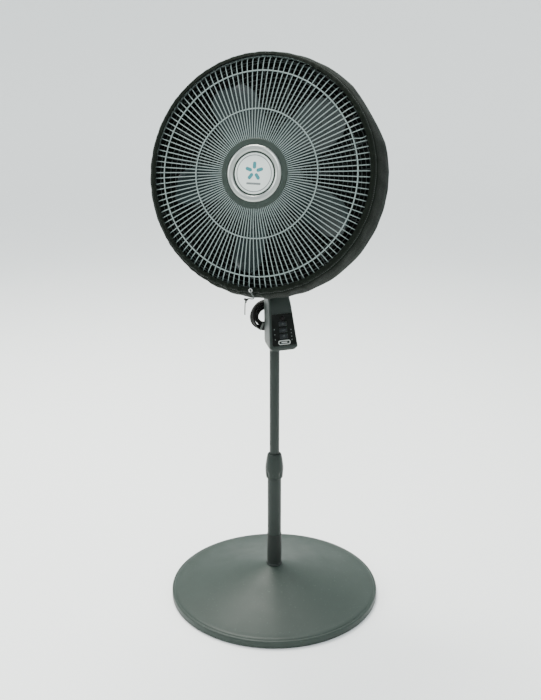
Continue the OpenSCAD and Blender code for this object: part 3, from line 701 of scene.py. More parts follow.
def housing_mesh(name, front):
    """Half of the control housing as a thick shell: slices outside, slices drawn in by the wall
    inside, and rims that turn in to the pole below and the swivel above. The front half has a window."""
    wall = 2.4 * MM
    seam = SEAM_Y + (-0.3 if front else 0.3) * MM
    rows = housing_slices()
    grids = []
    for inset in (0, wall):
        height = np.clip(rows[:, 0], NECK_LOW + inset, NECK_TOP - inset)
        body = housing_rows(rows, height, inset, seam, front)
        foot = hole_row(UPPER_R + 0.4 * MM, height[0], seam, front, body.shape[1])
        head = hole_row(17.4 * MM, height[-1], seam, front, body.shape[1])
        grids.append(np.concatenate([foot, body, head]))
    window = None
    if front:
        middle = SIDE_STEPS + CORNER_STEPS + len(FLAT_SHARES) - 1
        inside = np.flatnonzero((grids[0][:, middle, 2] > PANEL.place([0, -20 * MM, 0])[2])
                                & (grids[0][:, middle, 2] < PANEL.place([0, 19 * MM, 0])[2]))
        window = int(inside[0]), int(inside[-1]), middle - 2, middle + 2
    skin = Skin()
    skin.walls(*grids, size=(0.12, 0.24), window=window)
    return skin.mesh(name)


KEY_PROFILE = (
    (0, -3.4), (1.1, -3.4), (1.1, -2.3), (1, -2.2), (1, 1.3), (0.985, 1.7), (0.94, 1.95), (0.85, 2.08),
    (0.6, 2.2), (0.3, 2.26), (0, 2.28),
)


def stroke(points):
    """A thin raised line through the points, on the top of a key."""
    path = np.concatenate([np.asarray(points, float), np.full((len(points), 1), 2.2)], 1) * MM
    return capped(tube(path, 0.22 * MM, 6, (0, 0, 1)))


def arc(radius, start, end, count=22):
    """Points of an arc round the middle, between two angles in degrees."""
    angle = np.radians(np.linspace(start, end, count))
    return np.stack([radius * np.cos(angle), radius * np.sin(angle)], -1)


KEY_MARKS = {
    "power_button": lambda: [arc(1.7, 120, 420), [(0, 0.6), (0, 2.3)]],
    "speed_button": lambda: [[(-2 + 2 * i, -1.6), (-2 + 2 * i, -0.4 + 1.1 * i)] for i in range(3)],
    "timer_button": lambda: [arc(1.9, 0, 360, 30), [(0, 1.2), (0, 0), (0.9, -0.5)]],
}


def key_mesh(node):
    """A pillow-shaped key on a flange, with a small raised pictogram."""
    low, high = extent(node, PANEL)
    axes = PANEL.moved(0, (low[1] + high[1]) / 2, 0)
    skin = Skin()
    profile = np.array(KEY_PROFILE) * [1, MM]
    skin.grid(axes.place(pillow(18 * MM, 9 * MM, 5, profile)), ring=True, size=(0.05, 0.02))
    for mark in KEY_MARKS[node]():
        skin.grid(axes.place(stroke(mark)), ring=True, size=(MM, 0.01), finish=1)
    return skin.mesh(node.replace("button", "key"))


def trim_mesh():
    """The oval at the foot of the panel: a rounded metal ring round a sunk dark plate with a plain bar."""
    steps = ((28, 10, 0.8), (28, 10, 2), (27.6, 9.6, 2.4), (26.8, 8.8, 2.6), (25, 7, 2.5), (24.2, 6.2, 2.2),
             (24, 6, 1.6))
    rows = np.stack([np.concatenate([stadium(w, h), np.full((24, 1), z)], 1) for w, h, z in steps]) * MM
    plate = np.stack([rows[-1], rows[-1] * [0.02, 0.02, 1]])
    back = np.stack([rows[0] * [0.02, 0.02, 1], rows[0]])
    bar_steps = ((13, 2.4, 1.5), (13, 2.4, 2), (12.4, 1.8, 2.2), (0.4, 0.2, 2.2))
    bar = np.stack([np.concatenate([stadium(w, h), np.full((24, 1), z)], 1) for w, h, z in bar_steps]) * MM
    low, high = extent("panel_trim", PANEL)
    axes = PANEL.moved(0, (low[1] + high[1]) / 2, 0)
    skin = Skin()
    for grid, finish in ((rows, 0), (plate, 1), (back, 1), (bar, 0)):
        skin.grid(axes.place(grid), ring=True, size=(0.06, 0.004), finish=finish)
    return skin.mesh("oval_trim")


LAMP_PLACES = [(-20, 2 - 11 * i) for i in range(3)] + [(17.8, -1 - 7.3 * i) for i in range(4)]


def lamps_mesh():
    """Seven small domed lamps in the panel."""
    dome = MM * np.array([(0, 0.1), (1.2, 0.1), (1.2, 1.4), (1.05, 1.75), (0.7, 1.95), (0, 2.05)])
    skin = Skin()
    for x, y in LAMP_PLACES:
        skin.turn(dome, PANEL.moved(x * MM, y * MM, 0), 16, closed=False)
    return skin.mesh("indicator_lamps")


def receiver_mesh():
    """The round window of the remote receiver: a shallow dome in a narrow bezel."""
    low, high = extent("receiver_lens", PANEL)
    dome = MM * np.array([
        (0, -1), (5.4, -1), (5.4, 1.5), (5.1, 1.8), (4.7, 1.7), (4.5, 1.4), (3.4, 1.8), (1.8, 2.1), (0, 2.2),
    ])
    skin = Skin()
    skin.turn(dome, PANEL.moved(0, (low[1] + high[1]) / 2, 0), 40, closed=False)
    return skin.mesh("receiver_window")


def screws_mesh():
    """Pan-head screws with a cross recess, worked out on rings whose height drops inside the cross."""
    rings = MM * np.array([
        (0, 0.3), (1.5, 0.3), (1.5, 0), (3, 0), (3, 0.7), (2.7, 1.2), (2.2, 1.5), (1.8, 1.6), (1.4, 1.65),
        (1, 1.7), (0.5, 1.7), (0, 1.7),
    ])
    skin = Skin()
    for height in (NECK_LOW + 16 * MM, NECK_LOW + 112 * MM):
        points = turned(rings, 48)
        cross = np.minimum(np.abs(points[..., 0]), np.abs(points[..., 1])) < 0.3 * MM
        inner = (np.hypot(points[..., 0], points[..., 1]) < 1.7 * MM) & (points[..., 2] > MM)
        points[..., 2] -= 0.9 * MM * (cross & inner)
        back = Axes((0, 24.6 * MM, height), (1, 0, 0), (0, 1, 0))
        skin.grid(back.place(points), ring=True)
    return skin.mesh("housing_screw_heads")


# ---------------------------------------------------------------- mains lead

LEAD_R = 2.5 * MM
COIL = (-8 * MM, 39 * MM, 674 * MM)
LEAD_IN = MM * np.array([
    (0, 43.7, 731.2), (0.4, 45.9, 727.6), (1.8, 48.2, 723.2), (4.6, 50.2, 716.8), (8.6, 51, 709.4),
    (13, 50.8, 702), (17.2, 49.8, 694.6), (20.6, 48, 687),
])
LEAD_OUT = MM * np.array([
    (-8, 33.5, 705.5), (0, 33, 704.9), (8, 32.2, 703), (16, 31.6, 699), (23, 31.2, 693.4),
    (29, 31, 686.4), (33.4, 31, 679), (36, 31, 671), (37, 31, 663),
])
COIL_LANES = MM * np.array([
    (31.5, 5.5), (29.5, 0), (24, 0), (24.5, 5.5), (18.8, 5.5), (17.6, 0), (18.5, -5.5), (25, -5.5),
    (31.5, -5.5), (31.5, -5.5),
])


def lead_path():
    """The whole lead: out of the gland, nine turns wound lane by lane, and down to the plug. A turn
    keeps its lane for 0.7 of its round and then crosses to the next."""
    turns = np.linspace(0, 8.75, 520)
    lane = turns.astype(int)
    cross = np.clip((turns - lane - 0.7) / 0.3, 0, 1)[:, None]
    cross = cross * cross * (3 - 2 * cross)
    seat = COIL_LANES[lane] * (1 - cross) + COIL_LANES[np.minimum(lane + 1, 9)] * cross
    angle = -TURN * turns
    wander = 2 * MM * np.sin(2 * angle + 1.3 * lane) * np.sin(TURN * (turns - lane) / 2) ** 2
    radius = seat[:, 0] + wander
    coil = np.stack([radius * np.cos(angle), seat[:, 1], radius * np.sin(angle)], -1) + COIL
    return np.concatenate([flowing(LEAD_IN, 60), coil[6:-4], flowing(LEAD_OUT, 60)[3:]])


def gland_mesh():
    """The cord's strain relief: a ribbed taper with a collar and a flange, along the way the cord leaves."""
    ribs = [(4.4 - 0.9 * i / 8 - dip, -30 + 3.4 * i + step)
            for i in range(9) for dip, step in ((0, 0), (0, 2), (0.9, 2.3), (0.9, 3.1))]
    profile = [(2.5, -44), (5.4, -44), (5.4, -33), (6.9, -33), (6.9, -30.4), *ribs, (3.4, 0), (2.5, 0)]
    skin = Skin()
    skin.turn(eased(MM * np.array(profile), 0.25 * MM, 2), GLAND, 40)
    return skin.mesh("cord_strain_relief")


# ---------------------------------------------------------------- blades

HUB_R = 37 * MM
BLADE_Z = 89 * MM
TIP_START = 0.8


def impeller_mesh(count):
    """Five swept blades on a cup-shaped hub. At a share u of the span a blade is an arc-cambered
    section with a half chord of 25 + 28 sin(180 u) mm, pitched 47 - 15 u degrees, rounded at its tip."""
    tip = TIP_START + (1 - TIP_START) * np.sin(np.linspace(0.17, 1.57, 12))
    around = np.linspace(0, TURN, 57)[:-1]
    side = np.sign(math.pi - around)
    spans = np.concatenate([[-0.03], np.linspace(0, TIP_START, 17), tip])
    share, across = np.meshgrid(spans, np.cos(around), indexing="ij")
    r = HUB_R + (BLADE_R - HUB_R) * share
    root = 25 + 28 * np.sin(math.pi * np.clip(share, 0, 1))
    half = np.where(share < 0.5, root, 53 - 8 * (share - 0.5)) * MM
    half *= np.sqrt(np.clip(1 - 0.72 * (np.clip(share - TIP_START, 0, 1) / (1 - TIP_START)) ** 2, 0, 1))
    pitch = np.radians(47 - 15 * share)
    angle = across * half * np.cos(pitch) / r
    height = across * half * np.sin(pitch) - 6 * MM * (1 - across**2) * share
    thick = 1.25 * MM * np.sqrt(np.clip(1 - across**2, 0, 1)) ** 0.5 * side
    thick = thick * np.sqrt(np.clip(1 - np.clip((share - 0.97) / 0.03, 0, 1) ** 2, 0, 1))
    starts = np.radians(45 + 360 / count * np.arange(count))[:, None, None]
    blade = np.stack([r * np.cos(angle + starts), r * np.sin(angle + starts),
                      np.broadcast_to(BLADE_Z + height + thick, (count,) + r.shape)], -1)
    cup = MM * np.array([(4, 0), (33, 0), (35.5, 1), (36.8, 4), (37, 10), (37, 30), (36, 35), (33, 37.4),
                         (20, 38), (10, 38), (10, 34), (4, 34)]) + [0, HUB_Z]
    skin = Skin()
    skin.grid(FAN.place(blade), ring=True, size=(0.12, 0.17))
    skin.turn(eased(cup, 1 * MM, 3), FAN, 96)
    return skin.mesh("fan_impeller")




# ---------------------------------------------------------------- guard

WIRE_R = 0.98 * MM
RING_R = 1.3 * MM
BENT_WIRE = 22.5
FRONT_LINE = MM * np.array([
    (65, 155), (100, 151.5), (127, 147), (165, 140.5), (203, 132), (222, 127.5), (229.6, 122), (232.6, 116),
    (233.4, 110),
])
REAR_LINE = MM * np.array([(58, 43), (110, 43.4), (160, 45), (205, 49), (222, 57), (231, 72), (233.4, 107)])


def spokes(line, count, first, radius, sides, bent=0.0):
    """Wires that follow a line of (radius, height) at even angles. One wire near 22 degrees can be
    knocked sideways by some degrees where it crosses the outer part of the guard."""
    path = eased(line, 7 * MM, 3, closed=False)
    angle = np.radians(first + 360 / count * np.arange(count))[:, None]
    knock = bent * (np.abs(angle_from(np.degrees(angle), BENT_WIRE)) < 1) * bump((path[:, 0] - 0.219) / 0.02)
    turn = angle + np.radians(knock)
    wires = np.stack([path[:, 0] * np.cos(turn), path[:, 0] * np.sin(turn),
                      np.broadcast_to(path[:, 1], turn.shape)], -1)
    return tube(wires, radius, sides, np.stack([-np.sin(angle), np.cos(angle), 0 * angle], -1))


def hoop(radius, height, thick, sides=8, steps=144):
    """A wire ring on the fan's axis."""
    angle = np.arange(steps) * TURN / steps
    path = np.stack([radius * np.cos(angle), radius * np.sin(angle), height + 0 * angle], -1)
    return tube(path, thick, sides, (0, 0, 1), closed=True)


def level(line, radius):
    """Height of a guard line at a radius."""
    return float(np.interp(radius, line[:, 0], line[:, 1]))


def front_guard_mesh(count):
    """The front grille: radial wires that turn back over the rim, one of them slightly bent, with
    rings before and behind them."""
    skin = Skin()
    wires = spokes(FRONT_LINE, count, 1.5, WIRE_R, 6, bent=-1.3)
    skin.grid(FAN.place(capped(wires)), ring=True, size=(0.007, 0.2))
    for radius, side in ((67 * MM, -1.6), (127 * MM, 1.6), (203 * MM, 1.6)):
        ring = hoop(radius, level(FRONT_LINE, radius) + side * MM, RING_R)
        skin.grid(FAN.place(ring), True, True, (0.01, 1))
    skin.grid(FAN.place(hoop(GUARD_R, RIM_Z + 7 * MM, RING_R)), True, True, (0.01, 1.4))
    return skin.mesh("guard_grille_front")


def rear_guard_mesh(count, rings):
    """The rear grille: stout radial wires, evenly spaced rings and a turned plate round the motor."""
    skin = Skin()
    skin.grid(FAN.place(capped(spokes(REAR_LINE, count, 7.5, RING_R, 8))), ring=True, size=(0.01, 0.25))
    for step in range(rings):
        radius = (66 + 9.7 * step) * MM
        ring = hoop(radius, level(REAR_LINE, radius) + 2.2 * MM, WIRE_R, 6)
        skin.grid(FAN.place(ring), True, True, (0.007, 1))
    for radius, height in ((229.3, 74), (230.4, 90)):
        skin.grid(FAN.place(hoop(radius * MM, height * MM, WIRE_R, 6)), True, True, (0.007, 1.4))
    skin.grid(FAN.place(hoop(GUARD_R, RIM_Z + 3 * MM, RING_R)), True, True, (0.01, 1.4))
    plate = MM * np.array([(22.6, 42), (62, 42), (62, 44), (22.6, 44)])
    skin.turn(eased(plate, 0.6 * MM), FAN)
    return skin.mesh("guard_grille_rear")


# ---------------------------------------------------------------- badge

def badge_dish_mesh():
    """The badge's dish: a shallow cup with a beaded rim and a channel for the ring."""
    profile = MM * np.array([
        (0, 0), (64, 0), (64, 3.2), (68, 3.4), (68.8, 4.4), (67.6, 5.5), (56.5, 6.3), (56.5, 3.6),
        (43.2, 3.6), (43.2, 6.2), (40.4, 6.2), (40.4, 2.4), (0, 2.4),
    ]) + [0, FACE_Z]
    skin = Skin()
    skin.turn(eased(profile, 0.5 * MM), FAN, 160, closed=False)
    return skin.mesh("badge_dish_moulding")


def badge_ring_mesh():
    """The plated ring: a rounded crown that leans in towards the disc."""
    profile = MM * np.array([
        (43.3, 3.7), (56.4, 3.7), (56.4, 5.6), (54.6, 8), (51, 9.4), (47.4, 9), (44.6, 7.6), (43.3, 6),
    ]) + [0, FACE_Z]
    skin = Skin()
    skin.turn(eased(profile, 2 * MM, 6), FAN, 160)
    return skin.mesh("badge_plated_ring")


def printed(width, height):
    """A printed oval: its outline a hair above the surface, closed to a point at its middle."""
    outline = np.concatenate([stadium(width, height), np.full((24, 1), 0)], 1) * MM
    return np.stack([outline + [0, 0, 0.08 * MM], outline * 0.01 + [0, 0, 0.1 * MM]])


def badge_disc_mesh(petals):
    """The white disc, with a thin printed ring, a plain bar and a rosette of rounded petals."""
    profile = MM * np.array([(0, 2.5), (40.2, 2.5), (40.2, 5.6), (39.6, 6), (0, 6.2)]) + [0, FACE_Z]
    skin = Skin()
    skin.turn(profile, FAN, 128, closed=False)
    top = FACE_Z + 6.25 * MM
    skin.turn([(35 * MM, top), (35.8 * MM, top + 0.08 * MM), (36.6 * MM, top)], FAN, 128, False, finish=1)
    skin.grid(FAN.moved(0, -20 * MM, top).place(printed(30, 4)), True, finish=1)
    for step in range(petals):
        axes = FAN.moved(0, 4 * MM, top, TURN * (step + 0.25) / petals).moved(12 * MM, 0, 0)
        skin.grid(axes.place(printed(14, 7)), True, finish=2)
    return skin.mesh("badge_disc_face")


# ---------------------------------------------------------------- filter cover

COVER_LINE = MM * np.array([
    (220, 134), (226, 132.6), (232, 130.6), (238.6, 125), (242.6, 116), (245, 104), (247.8, 86), (248.25, 66),
    (247.4, 54), (244, 44.5), (236, 38.6), (228, 37),
])
HEM_WIDTH = 13 * MM
TAUT_HALF = 15


def cover_grid(columns, rows, lift=0.0):
    """The stretched band as a grid of rows from the hem to the back seam. It follows the rim's line
    from a hem whose radius changes round the fan, swells over the hem's casing, dips at the stitch
    line, gathers into puckers at the hem, and is drawn straight across the upper right."""
    angle = np.arange(columns) * 360 / columns
    hem = np.interp(angle, [0, 90, 180, 270, 360], [227, 235, 223, 226, 227]) * MM
    line = flowing(COVER_LINE, 240)
    run = np.concatenate([[0], np.cumsum(np.linalg.norm(np.diff(line, axis=0), axis=1))])
    start = np.interp(hem, line[:60, 0], run[:60])
    step = np.concatenate([np.linspace(0, 0.2, 22), np.linspace(0.2, 1, rows - 22 + 1)[1:]])[:, None]
    along = start + (run[-1] - start) * step
    radius, height = (np.interp(along, run, line[:, k]) for k in (0, 1))
    from_hem = along - start
    slope = np.stack([np.interp(along, run, np.gradient(line[:, k], run)) for k in (0, 1)])
    swell = 2 * MM * bump((from_hem - 6 * MM) / (7 * MM))
    seam = 0.9 * MM * bump((from_hem - HEM_WIDTH) / (2.2 * MM))
    turn = np.radians(angle)
    gathers = (np.sin(61 * turn + 3 * np.sin(5 * turn)) + 0.6 * np.sin(97 * turn + 2 * np.sin(7 * turn)))
    near_knot = 0.35 + 1.3 * bump(angle_from(angle, -97) / 60)
    pucker = 1.0 * MM * gathers * near_knot * np.exp(-from_hem / (26 * MM))
    back = 0.6 * MM * np.sin(83 * turn + 2 * np.sin(9 * turn)) * np.exp(-(run[-1] - along) / (12 * MM))
    sag = 0.7 * MM * np.sin(3 * turn + 1) * np.sin(step * math.pi)
    low_right = 0.35 + bump(angle_from(angle, -50) / 75)
    folds = 1.3 * MM * np.sin(31 * turn + 3 * np.sin(4 * turn) + 5 * step)
    out = swell - seam + pucker + back + sag + folds * low_right * bump((step - 0.42) / 0.5) + lift
    radius = radius + out * np.abs(slope[1]) ** 0.5
    height = height + out * np.sqrt(np.clip(1 - slope[1] ** 2, 0, 1)) * np.sign(0.5 - step)
    off = np.radians(np.clip(angle_from(angle, 34), -TAUT_HALF, TAUT_HALF))
    chord = 248 * MM * (1 - math.cos(math.radians(TAUT_HALF)) / np.cos(off))
    taut = 0.6 * chord * bump((height - 62 * MM) / (72 * MM))
    radius = radius - taut - 4 * MM * bump(angle_from(angle, 180) / 80) * bump((height - 75 * MM) / (60 * MM))
    return np.stack([radius * np.cos(turn), radius * np.sin(turn), height], -1)


def cover_band_mesh():
    """The band of the filter cover as a thin sheet with an inner face."""
    skin = Skin()
    skin.walls(FAN.place(cover_grid(720, 64)), FAN.place(cover_grid(720, 64, -0.9 * MM)), True, (1.52, 0.14))
    return skin.mesh("filter_cover_band")


def stitches_mesh():
    """Short thread stitches along the hem's stitch line, each a small capsule."""
    grid = cover_grid(1480, 64)
    distance = np.linalg.norm(np.diff(grid, axis=0), axis=-1).cumsum(0)
    row = np.abs(distance - HEM_WIDTH).argmin(0) + 1
    line = grid[row, np.arange(grid.shape[1])] + [0, 0, 0.3 * MM]
    path = line.reshape(-1, 4, 3)[:, :3]
    rings = tube(path, np.array([0.25, 0.42, 0.25]) * MM, 5, (0, 0, 1))
    skin = Skin()
    skin.grid(FAN.place(capped(rings)), ring=True, size=(MM, 0.003))
    return skin.mesh("hem_stitches")


def cover_back_mesh():
    """The filter sheet over the rear grille: a flat ring with radial gathers near the elastic."""
    turn = np.arange(360) * TURN / 360
    radius = np.linspace(66.8, 228.4, 60)[:, None] * MM
    near = np.exp(-(radius - 66 * MM) / (22 * MM))
    height = 36.2 * MM + 1.3 * MM * near * np.sin(48 * turn + 2 * np.sin(5 * turn)) + 0.5 * MM * np.sin(
        5 * turn + radius * 60)
    grid = np.stack([radius * np.cos(turn), radius * np.sin(turn), height], -1)
    skin = Skin()
    skin.walls(FAN.place(grid), FAN.place(grid - [0, 0, 0.6 * MM]), True, (1.0, 0.16))
    return skin.mesh("filter_cover_back")


def elastic_mesh():
    """The cloth-covered elastic: a torus bunched by its gathers."""
    turn = np.arange(288) * TURN / 288
    around = np.arange(14)[None] * TURN / 14
    thick = (1.9 + 0.28 * np.sin(48 * turn)[:, None]) * MM
    radius = 63.6 * MM + thick * 1.5 * np.cos(around)
    height = 34.5 * MM + thick * np.sin(around)
    grid = np.stack([radius * np.cos(turn)[:, None], radius * np.sin(turn)[:, None], height], -1)
    skin = Skin()
    skin.grid(FAN.place(grid), True, True, (0.012, 0.4))
    return skin.mesh("cover_elastic_edge")


# ---------------------------------------------------------------- drawstring

STRING = Axes(FAN.place([0, -231 * MM, 135.4 * MM]), FAN.turn[0], FAN.turn[2])
STRING_ROUTE = MM * np.array([
    (0, 0, 0.8), (1.8, -4, 0.8), (4.2, -8, 0.2), (6.6, -11, -0.6), (8, -13.6, -1.4), (7, -16.2, -2),
    (3.4, -17.2, -2.4), (-1, -17, -2.7), (-5, -17.6, -3.2), (-8.6, -20.2, -4), (-10.6, -25, -5.2),
    (-11.4, -33, -7), (-11.7, -42, -8.9), (-11.8, -51, -11),
])


def drawstring_mesh():
    """The string: out of the eyelet, round a loop, and down in a short tail."""
    path = flowing(STRING_ROUTE, 110)
    skin = Skin()
    skin.grid(STRING.place(capped(tube(path, 1.2 * MM, 10, (0, 0, 1)))), ring=True, size=(0.0075, 0.1))
    return skin.mesh("cover_drawstring")


def knot_mesh():
    """The knot in the string: a short, fat trefoil of the same string."""
    t = np.arange(90) * TURN / 90
    path = MM * np.stack([1.9 * np.sin(t) + 2 * np.sin(2 * t), 2.2 * np.cos(t) - 2.4 * np.cos(2 * t),
                          -1.3 * np.sin(3 * t)], -1) + MM * np.array([-9, -20.6, -4.4])
    skin = Skin()
    skin.grid(STRING.place(tube(path, 1.35 * MM, 10, (0.1, 0.2, 1), closed=True)), True, True, (0.0075, 0.04))
    return skin.mesh("drawstring_knot")


def eyelet_mesh():
    """A pressed metal eyelet with a rolled edge."""
    profile = MM * np.array([(2.1, -2.2), (4.3, -2.2), (4.4, -1.5), (3.6, -0.5), (2.7, -0.3), (2.1, -0.9)])
    skin = Skin()
    skin.turn(eased(profile, 0.4 * MM), STRING, 40)
    return skin.mesh("hem_eyelet")


# ---------------------------------------------------------------- settings

class FanShape(bpy.types.PropertyGroup):
    """Sizes and counts of the visible pieces."""

    rim_height: FloatProperty(
        name="Base rim height", description="Height of the upright edge of the base", default=0.018,
        min=0.012, max=0.03, unit="LENGTH")
    dimples: IntProperty(
        name="Collar dimples", description="Finger dimples round the height collar", default=8, min=4, max=16)
    blades: IntProperty(name="Blades", description="Number of fan blades", default=5, min=3, max=7)
    front_wires: IntProperty(
        name="Front wires", description="Radial wires of the front grille", default=120, min=40, max=160)
    rear_wires: IntProperty(
        name="Rear wires", description="Radial wires of the rear grille", default=24, min=8, max=60)
    rear_rings: IntProperty(
        name="Rear rings", description="Rings of the rear grille", default=17, min=4, max=24)
    petals: IntProperty(name="Petals", description="Petals of the badge's rosette", default=5, min=3, max=9)


def tint(name, what, default):
    """A colour setting."""
    return FloatVectorProperty(
        name=name, description=what, subtype="COLOR", size=3, min=0, max=1, default=default)


class FanFinishes(bpy.types.PropertyGroup):
    """Colours of the visible materials."""

    base_colour: tint("Base", "Moulded base", (0.0235, 0.0335, 0.028))
    body_colour: tint("Body", "Poles and housings", (0.0125, 0.0185, 0.0155))
    dark_colour: tint("Dark parts", "Sleeve, rim and yoke", (0.008, 0.0115, 0.0095))
    panel_colour: tint("Panel", "Key panel overlay", (0.002, 0.003, 0.0022))
    key_colour: tint("Keys", "Push buttons", (0.0075, 0.01, 0.011))
    badge_colour: tint("Badge", "Disc of the badge", (0.62, 0.66, 0.63))
    blade_colour: tint("Blades", "Impeller", (0.024, 0.034, 0.034))
    wire_colour: tint("Wires", "Guard wires", (0.2, 0.245, 0.235))
    cloth_colour: tint("Cover cloth", "Band of the filter cover", (0.0055, 0.0082, 0.0055))
    mesh_colour: tint("Cover mesh", "Back of the filter cover", (0.005, 0.006, 0.005))


# ---------------------------------------------------------------- pieces

class FanPiece:
    """What the operators share."""

    bl_options = {"REGISTER", "UNDO"}

    def execute(self, context):
        self.make(context.scene.fan_shape, finishes())
        return {"FINISHED"}


class FAN_OT_base(FanPiece, bpy.types.Operator):
    """Base cover, pole socket and rubber feet"""

    bl_idname = "fan.base"
    bl_label = "Base"

    def make(self, shape, look):
        add_piece(base_cover_mesh(shape.rim_height), "stand", [look["base_plastic"]],
                  ["base_cover"])
        add_piece(socket_mesh(), "stand", [look["dark_plastic"]], ["base_socket"])
        copied("foot_pads", "rubber_feet", look["rubber"], 0.8 * MM)
        copied("base_bottom_tray", "base_tray", look["dark_plastic"], 0.5 * MM)


class FAN_OT_poles(FanPiece, bpy.types.Operator):
    """Lower pole, upper pole and the twist-lock collar"""

    bl_idname = "fan.poles"
    bl_label = "Poles and collar"

    def make(self, shape, look):
        poles = ("pole_lower", "lower_pole", LOWER_R), ("pole_upper", "upper_pole", UPPER_R)
        for name, node, radius in poles:
            body = frame["nodes"][node]["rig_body"]
            add_piece(pole_mesh(name, node, radius), body, [look["painted_tube"]], [node])
        add_piece(collar_mesh(shape.dimples), frame["nodes"]["height_collar"]["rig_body"],
                  [look["body_plastic"]], ["height_collar"])


class FAN_OT_housing(FanPiece, bpy.types.Operator):
    """Both halves of the control housing and its screws"""

    bl_idname = "fan.housing"
    bl_label = "Control housing"

    def make(self, shape, look):
        for name, node, front in (("housing_half_front", "housing_front", True),
                                  ("housing_half_rear", "housing_rear", False)):
            mesh = housing_mesh(name, front)
            piece = add_piece(mesh, "neck", [look["body_plastic"]], [node])
            softened(piece, 0.45 * MM)
        add_piece(screws_mesh(), "neck", [look["steel"]], ["housing_screws"])


class FAN_OT_panel(FanPiece, bpy.types.Operator):
    """Key panel: overlay, oval trim, receiver window, lamps and three keys"""

    bl_idname = "fan.panel"
    bl_label = "Key panel"

    def make(self, shape, look):
        copied("panel_face", "panel_overlay", look["panel_plastic"], 0.35 * MM)
        add_piece(trim_mesh(), "neck", [look["badge_silver"], look["dark_plastic"]],
                  ["panel_trim"])
        add_piece(receiver_mesh(), "neck", [look["lens"]], ["receiver_lens"])
        add_piece(lamps_mesh(), "neck", [look["lamp_lens"]], ["indicator_lenses"])
        for node in KEY_MARKS:
            add_piece(key_mesh(node), frame["nodes"][node]["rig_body"],
                      [look["key_plastic"], look["lamp_lens"]], [node])


class FAN_OT_lead(FanPiece, bpy.types.Operator):
    """Mains lead with its strain relief, tied coil and plug"""

    bl_idname = "fan.lead"
    bl_label = "Mains lead"

    def make(self, shape, look):
        relief = add_piece(gland_mesh(), "neck", [look["cord_rubber"]], ["cord_gland"])
        tie = copied("bundle_tie", "cord_tie", look["tie"], 0.3 * MM)
        plug = copied("mains_plug", "plug_body", look["cord_rubber"], 1.2 * MM)
        blades = copied("mains_plug_blades", "plug_blades", look["brass"], 0.3 * MM)
        path = lead_path()
        skin = Skin()
        skin.grid(capped(tube(path, LEAD_R, 12, (0, 1, 0))), ring=True, size=(TURN * LEAD_R, 1.6))
        lead = add_piece(skin.mesh("mains_lead"), "neck", [look["cord_rubber"]],
                         ["power_cord", "cord_coil"])


class FAN_OT_swivel(FanPiece, bpy.types.Operator):
    """Swivel yoke, tilt pin and tilt knob"""

    bl_idname = "fan.swivel"
    bl_label = "Swivel"

    def make(self, shape, look):
        copied("yoke_fork", "swivel_yoke", look["dark_plastic"], 0.8 * MM)
        copied("tilt_pivot", "tilt_pin", look["steel"])
        copied("tilt_hand_knob", "tilt_knob", look["dark_plastic"], 0.7 * MM)


class FAN_OT_motor(FanPiece, bpy.types.Operator):
    """Motor cradle, shell, vented cap and guard nut"""

    bl_idname = "fan.motor"
    bl_label = "Motor housing"

    def make(self, shape, look):
        copied("cradle_casting", "motor_cradle", look["dark_plastic"], 0.8 * MM)
        copied("motor_barrel", "motor_shell", look["body_plastic"], 0.8 * MM)
        copied("motor_rear_cap", "motor_cap", look["body_plastic"], 0.7 * MM)
        copied("guard_ring_nut", "guard_nut", look["dark_plastic"], 0.5 * MM)


class FAN_OT_impeller(FanPiece, bpy.types.Operator):
    """Swept blades on their hub, with the spinner nut"""

    bl_idname = "fan.impeller"
    bl_label = "Impeller"

    def make(self, shape, look):
        mesh = impeller_mesh(shape.blades)
        add_piece(mesh, "rotor", [look["blade_plastic"]], ["impeller"])
        copied("spinner_cap", "spinner_nut", look["dark_plastic"], 0.5 * MM)


class FAN_OT_guard(FanPiece, bpy.types.Operator):
    """Front and rear grilles and the rim that clips them together"""

    bl_idname = "fan.guard"
    bl_label = "Guard"

    def make(self, shape, look):
        add_piece(front_guard_mesh(shape.front_wires), "head", [look["guard_wire"]],
                  ["front_guard"])
        # The rear grille takes the darkened wire finish: painted shade, not a different wire
        add_piece(rear_guard_mesh(shape.rear_wires, shape.rear_rings), "head",
                  [look["shaded_wire"]], ["rear_guard"])
        copied("guard_rim_clip", "guard_rim", look["dark_plastic"], 0.4 * MM)


class FAN_OT_badge(FanPiece, bpy.types.Operator):
    """Badge dish, plated ring and printed disc"""

    bl_idname = "fan.badge"
    bl_label = "Badge"

    def make(self, shape, look):
        add_piece(badge_dish_mesh(), "head", [look["base_plastic"]], ["badge_dish"])
        add_piece(badge_ring_mesh(), "head", [look["badge_silver"]], ["badge_ring"])
        add_piece(badge_disc_mesh(shape.petals), "head",
                  [look["badge_face"], look["printed_mark"], look["badge_mark"]], ["badge_disc"])


class FAN_OT_cover(FanPiece, bpy.types.Operator):
    """Fabric filter cover: band, hem stitches, back sheet and elastic"""

    bl_idname = "fan.cover"
    bl_label = "Filter cover"

    def make(self, shape, look):
        stitches = add_piece(stitches_mesh(), "head", [look["string"]])
        band = add_piece(cover_band_mesh(), "head", [look["cover_cloth"]], ["cover_band"])
        back = add_piece(cover_back_mesh(), "head", [look["cover_mesh"]], ["cover_back"])
        elastic = add_piece(elastic_mesh(), "head", [look["cover_cloth"]], ["cover_elastic"])


class FAN_OT_drawstring(FanPiece, bpy.types.Operator):
    """Drawstring, its knot and the eyelet in the hem"""

    bl_idname = "fan.drawstring"
    bl_label = "Drawstring"

    def make(self, shape, look):
        knot = add_piece(knot_mesh(), "head", [look["cord_rubber"]])
        string = add_piece(drawstring_mesh(), "head", [look["string"]], ["drawstring"])
        add_piece(eyelet_mesh(), "head", [look["steel"]], ["string_eyelet"])
        path = STRING.place(flowing(STRING_ROUTE, 110))


